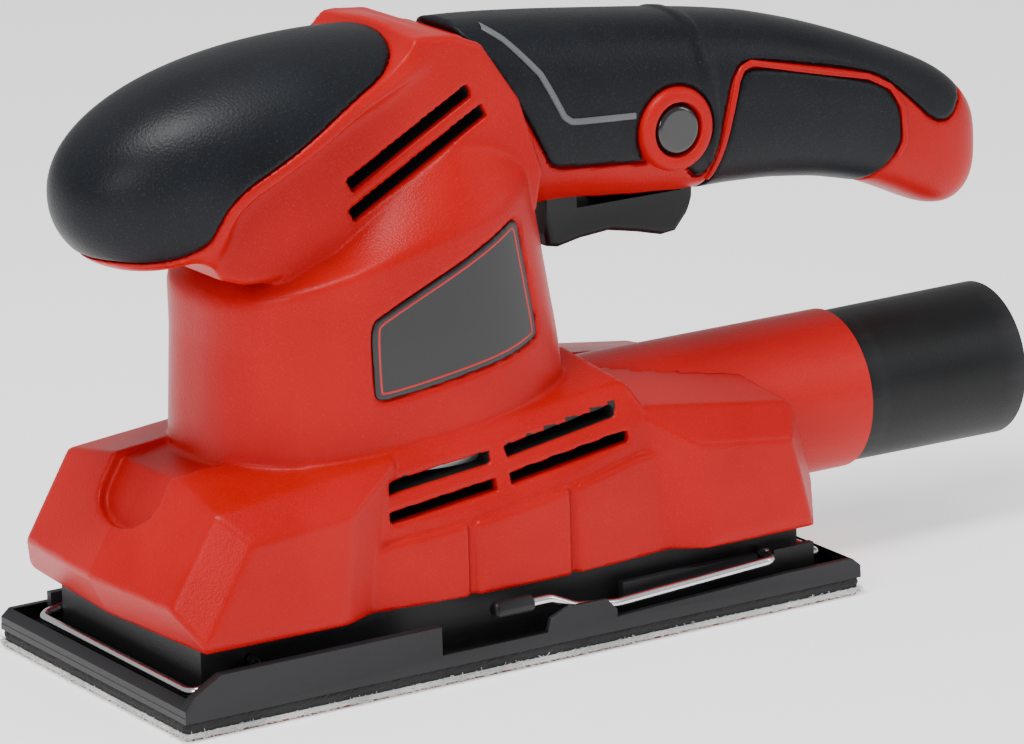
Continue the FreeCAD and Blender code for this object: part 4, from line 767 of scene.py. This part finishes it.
# softened edges on the crisp moulded pieces that stay as they are
for n, w_ in (("base_plate", 0.35), ("trigger", 0.5), ("dust_adapter", 0.7), ("dust_duct", 0.5), ("inlet_bushing", 0.4), ("rear_lever_cap", 0.2),
              ("front_lever_cap", 0.2), ("lock_button", 0.3)):
    o = N[n]
    for p in o.data.polygons:
        p.use_smooth = True
    bv = o.modifiers.new("edge", "BEVEL")
    bv.width = w_ * 1e-3
    bv.segments = 2
    bv.limit_method = "ANGLE"
    bv.angle_limit = math.radians(38)
    bv.harden_normals = True
for n in ("rear_clamp_wire", "front_clamp_wire"):
    for p in N[n].data.polygons:
        p.use_smooth = True

# ------------------------------------------------------------------ floor, lights, camera
fm = bpy.data.materials.new("floor")
fm.use_nodes = True
fb = fm.node_tree.nodes["Principled BSDF"]
fb.inputs["Base Color"].default_value = (0.97, 0.97, 0.97, 1)
fb.inputs["Emission Color"].default_value = (1, 1, 1, 1)
fb.inputs["Emission Strength"].default_value = 0.74
fb.inputs["Roughness"].default_value = 0.75
me = bpy.data.meshes.new("floor")
me.from_pydata([(-6, -6, -0.0002), (6, -6, -0.0002), (6, 6, -0.0002), (-6, 6, -0.0002)], [], [(0, 1, 2, 3)])
me.materials.append(fm)
floor = bpy.data.objects.new("floor", me)
bpy.context.scene.collection.objects.link(floor)

w = bpy.data.worlds.new("studio")
bpy.context.scene.world = w
w.use_nodes = True
w.node_tree.nodes["Background"].inputs[0].default_value = (1, 1, 1, 1)
w.node_tree.nodes["Background"].inputs[1].default_value = 0.55


def area(name, loc, target, size, power, size_y=None):
    l = bpy.data.lights.new(name, "AREA")
    l.energy = power
    l.shape = "RECTANGLE"
    l.size = size
    l.size_y = size_y or size
    o_ = bpy.data.objects.new(name, l)
    bpy.context.scene.collection.objects.link(o_)
    o_.location = loc
    d_ = Vector(target) - Vector(loc)
    o_.rotation_euler = d_.to_track_quat("-Z", "Y").to_euler()
    return o_


area("key_top", (-0.22, -0.12, 0.85), (0.02, 0, 0.08), 0.30, 6.5, 0.22)
area("front_left", (-0.85, -0.45, 0.55), (0.0, 0, 0.08), 0.22, 3.0, 0.3)
area("right_rim", (0.75, -0.55, 0.5), (0.05, 0, 0.08), 0.2, 1.6, 0.5)

az, el, roll = math.radians(-31.6851), math.radians(15.3766), math.radians(-1.6476)
back = Vector((math.sin(az) * math.cos(el), -math.cos(az) * math.cos(el), math.sin(el)))
right = Vector((math.cos(az), math.sin(az), 0))
up = back.cross(right)
R2 = right * math.cos(roll) + up * math.sin(roll)
U2 = -right * math.sin(roll) + up * math.cos(roll)
cam = bpy.data.cameras.new("cam")
cam.lens = 219.92
cam.sensor_width = 36.0
cam.clip_end = 20
co = bpy.data.objects.new("cam", cam)
bpy.context.scene.collection.objects.link(co)
pos = Vector((0.0238466, 0, 0.0577143)) + back * 1.5
m4 = Matrix(((R2.x, U2.x, back.x, pos.x), (R2.y, U2.y, back.y, pos.y), (R2.z, U2.z, back.z, pos.z), (0, 0, 0, 1)))
co.matrix_world = m4
bpy.context.scene.camera = co
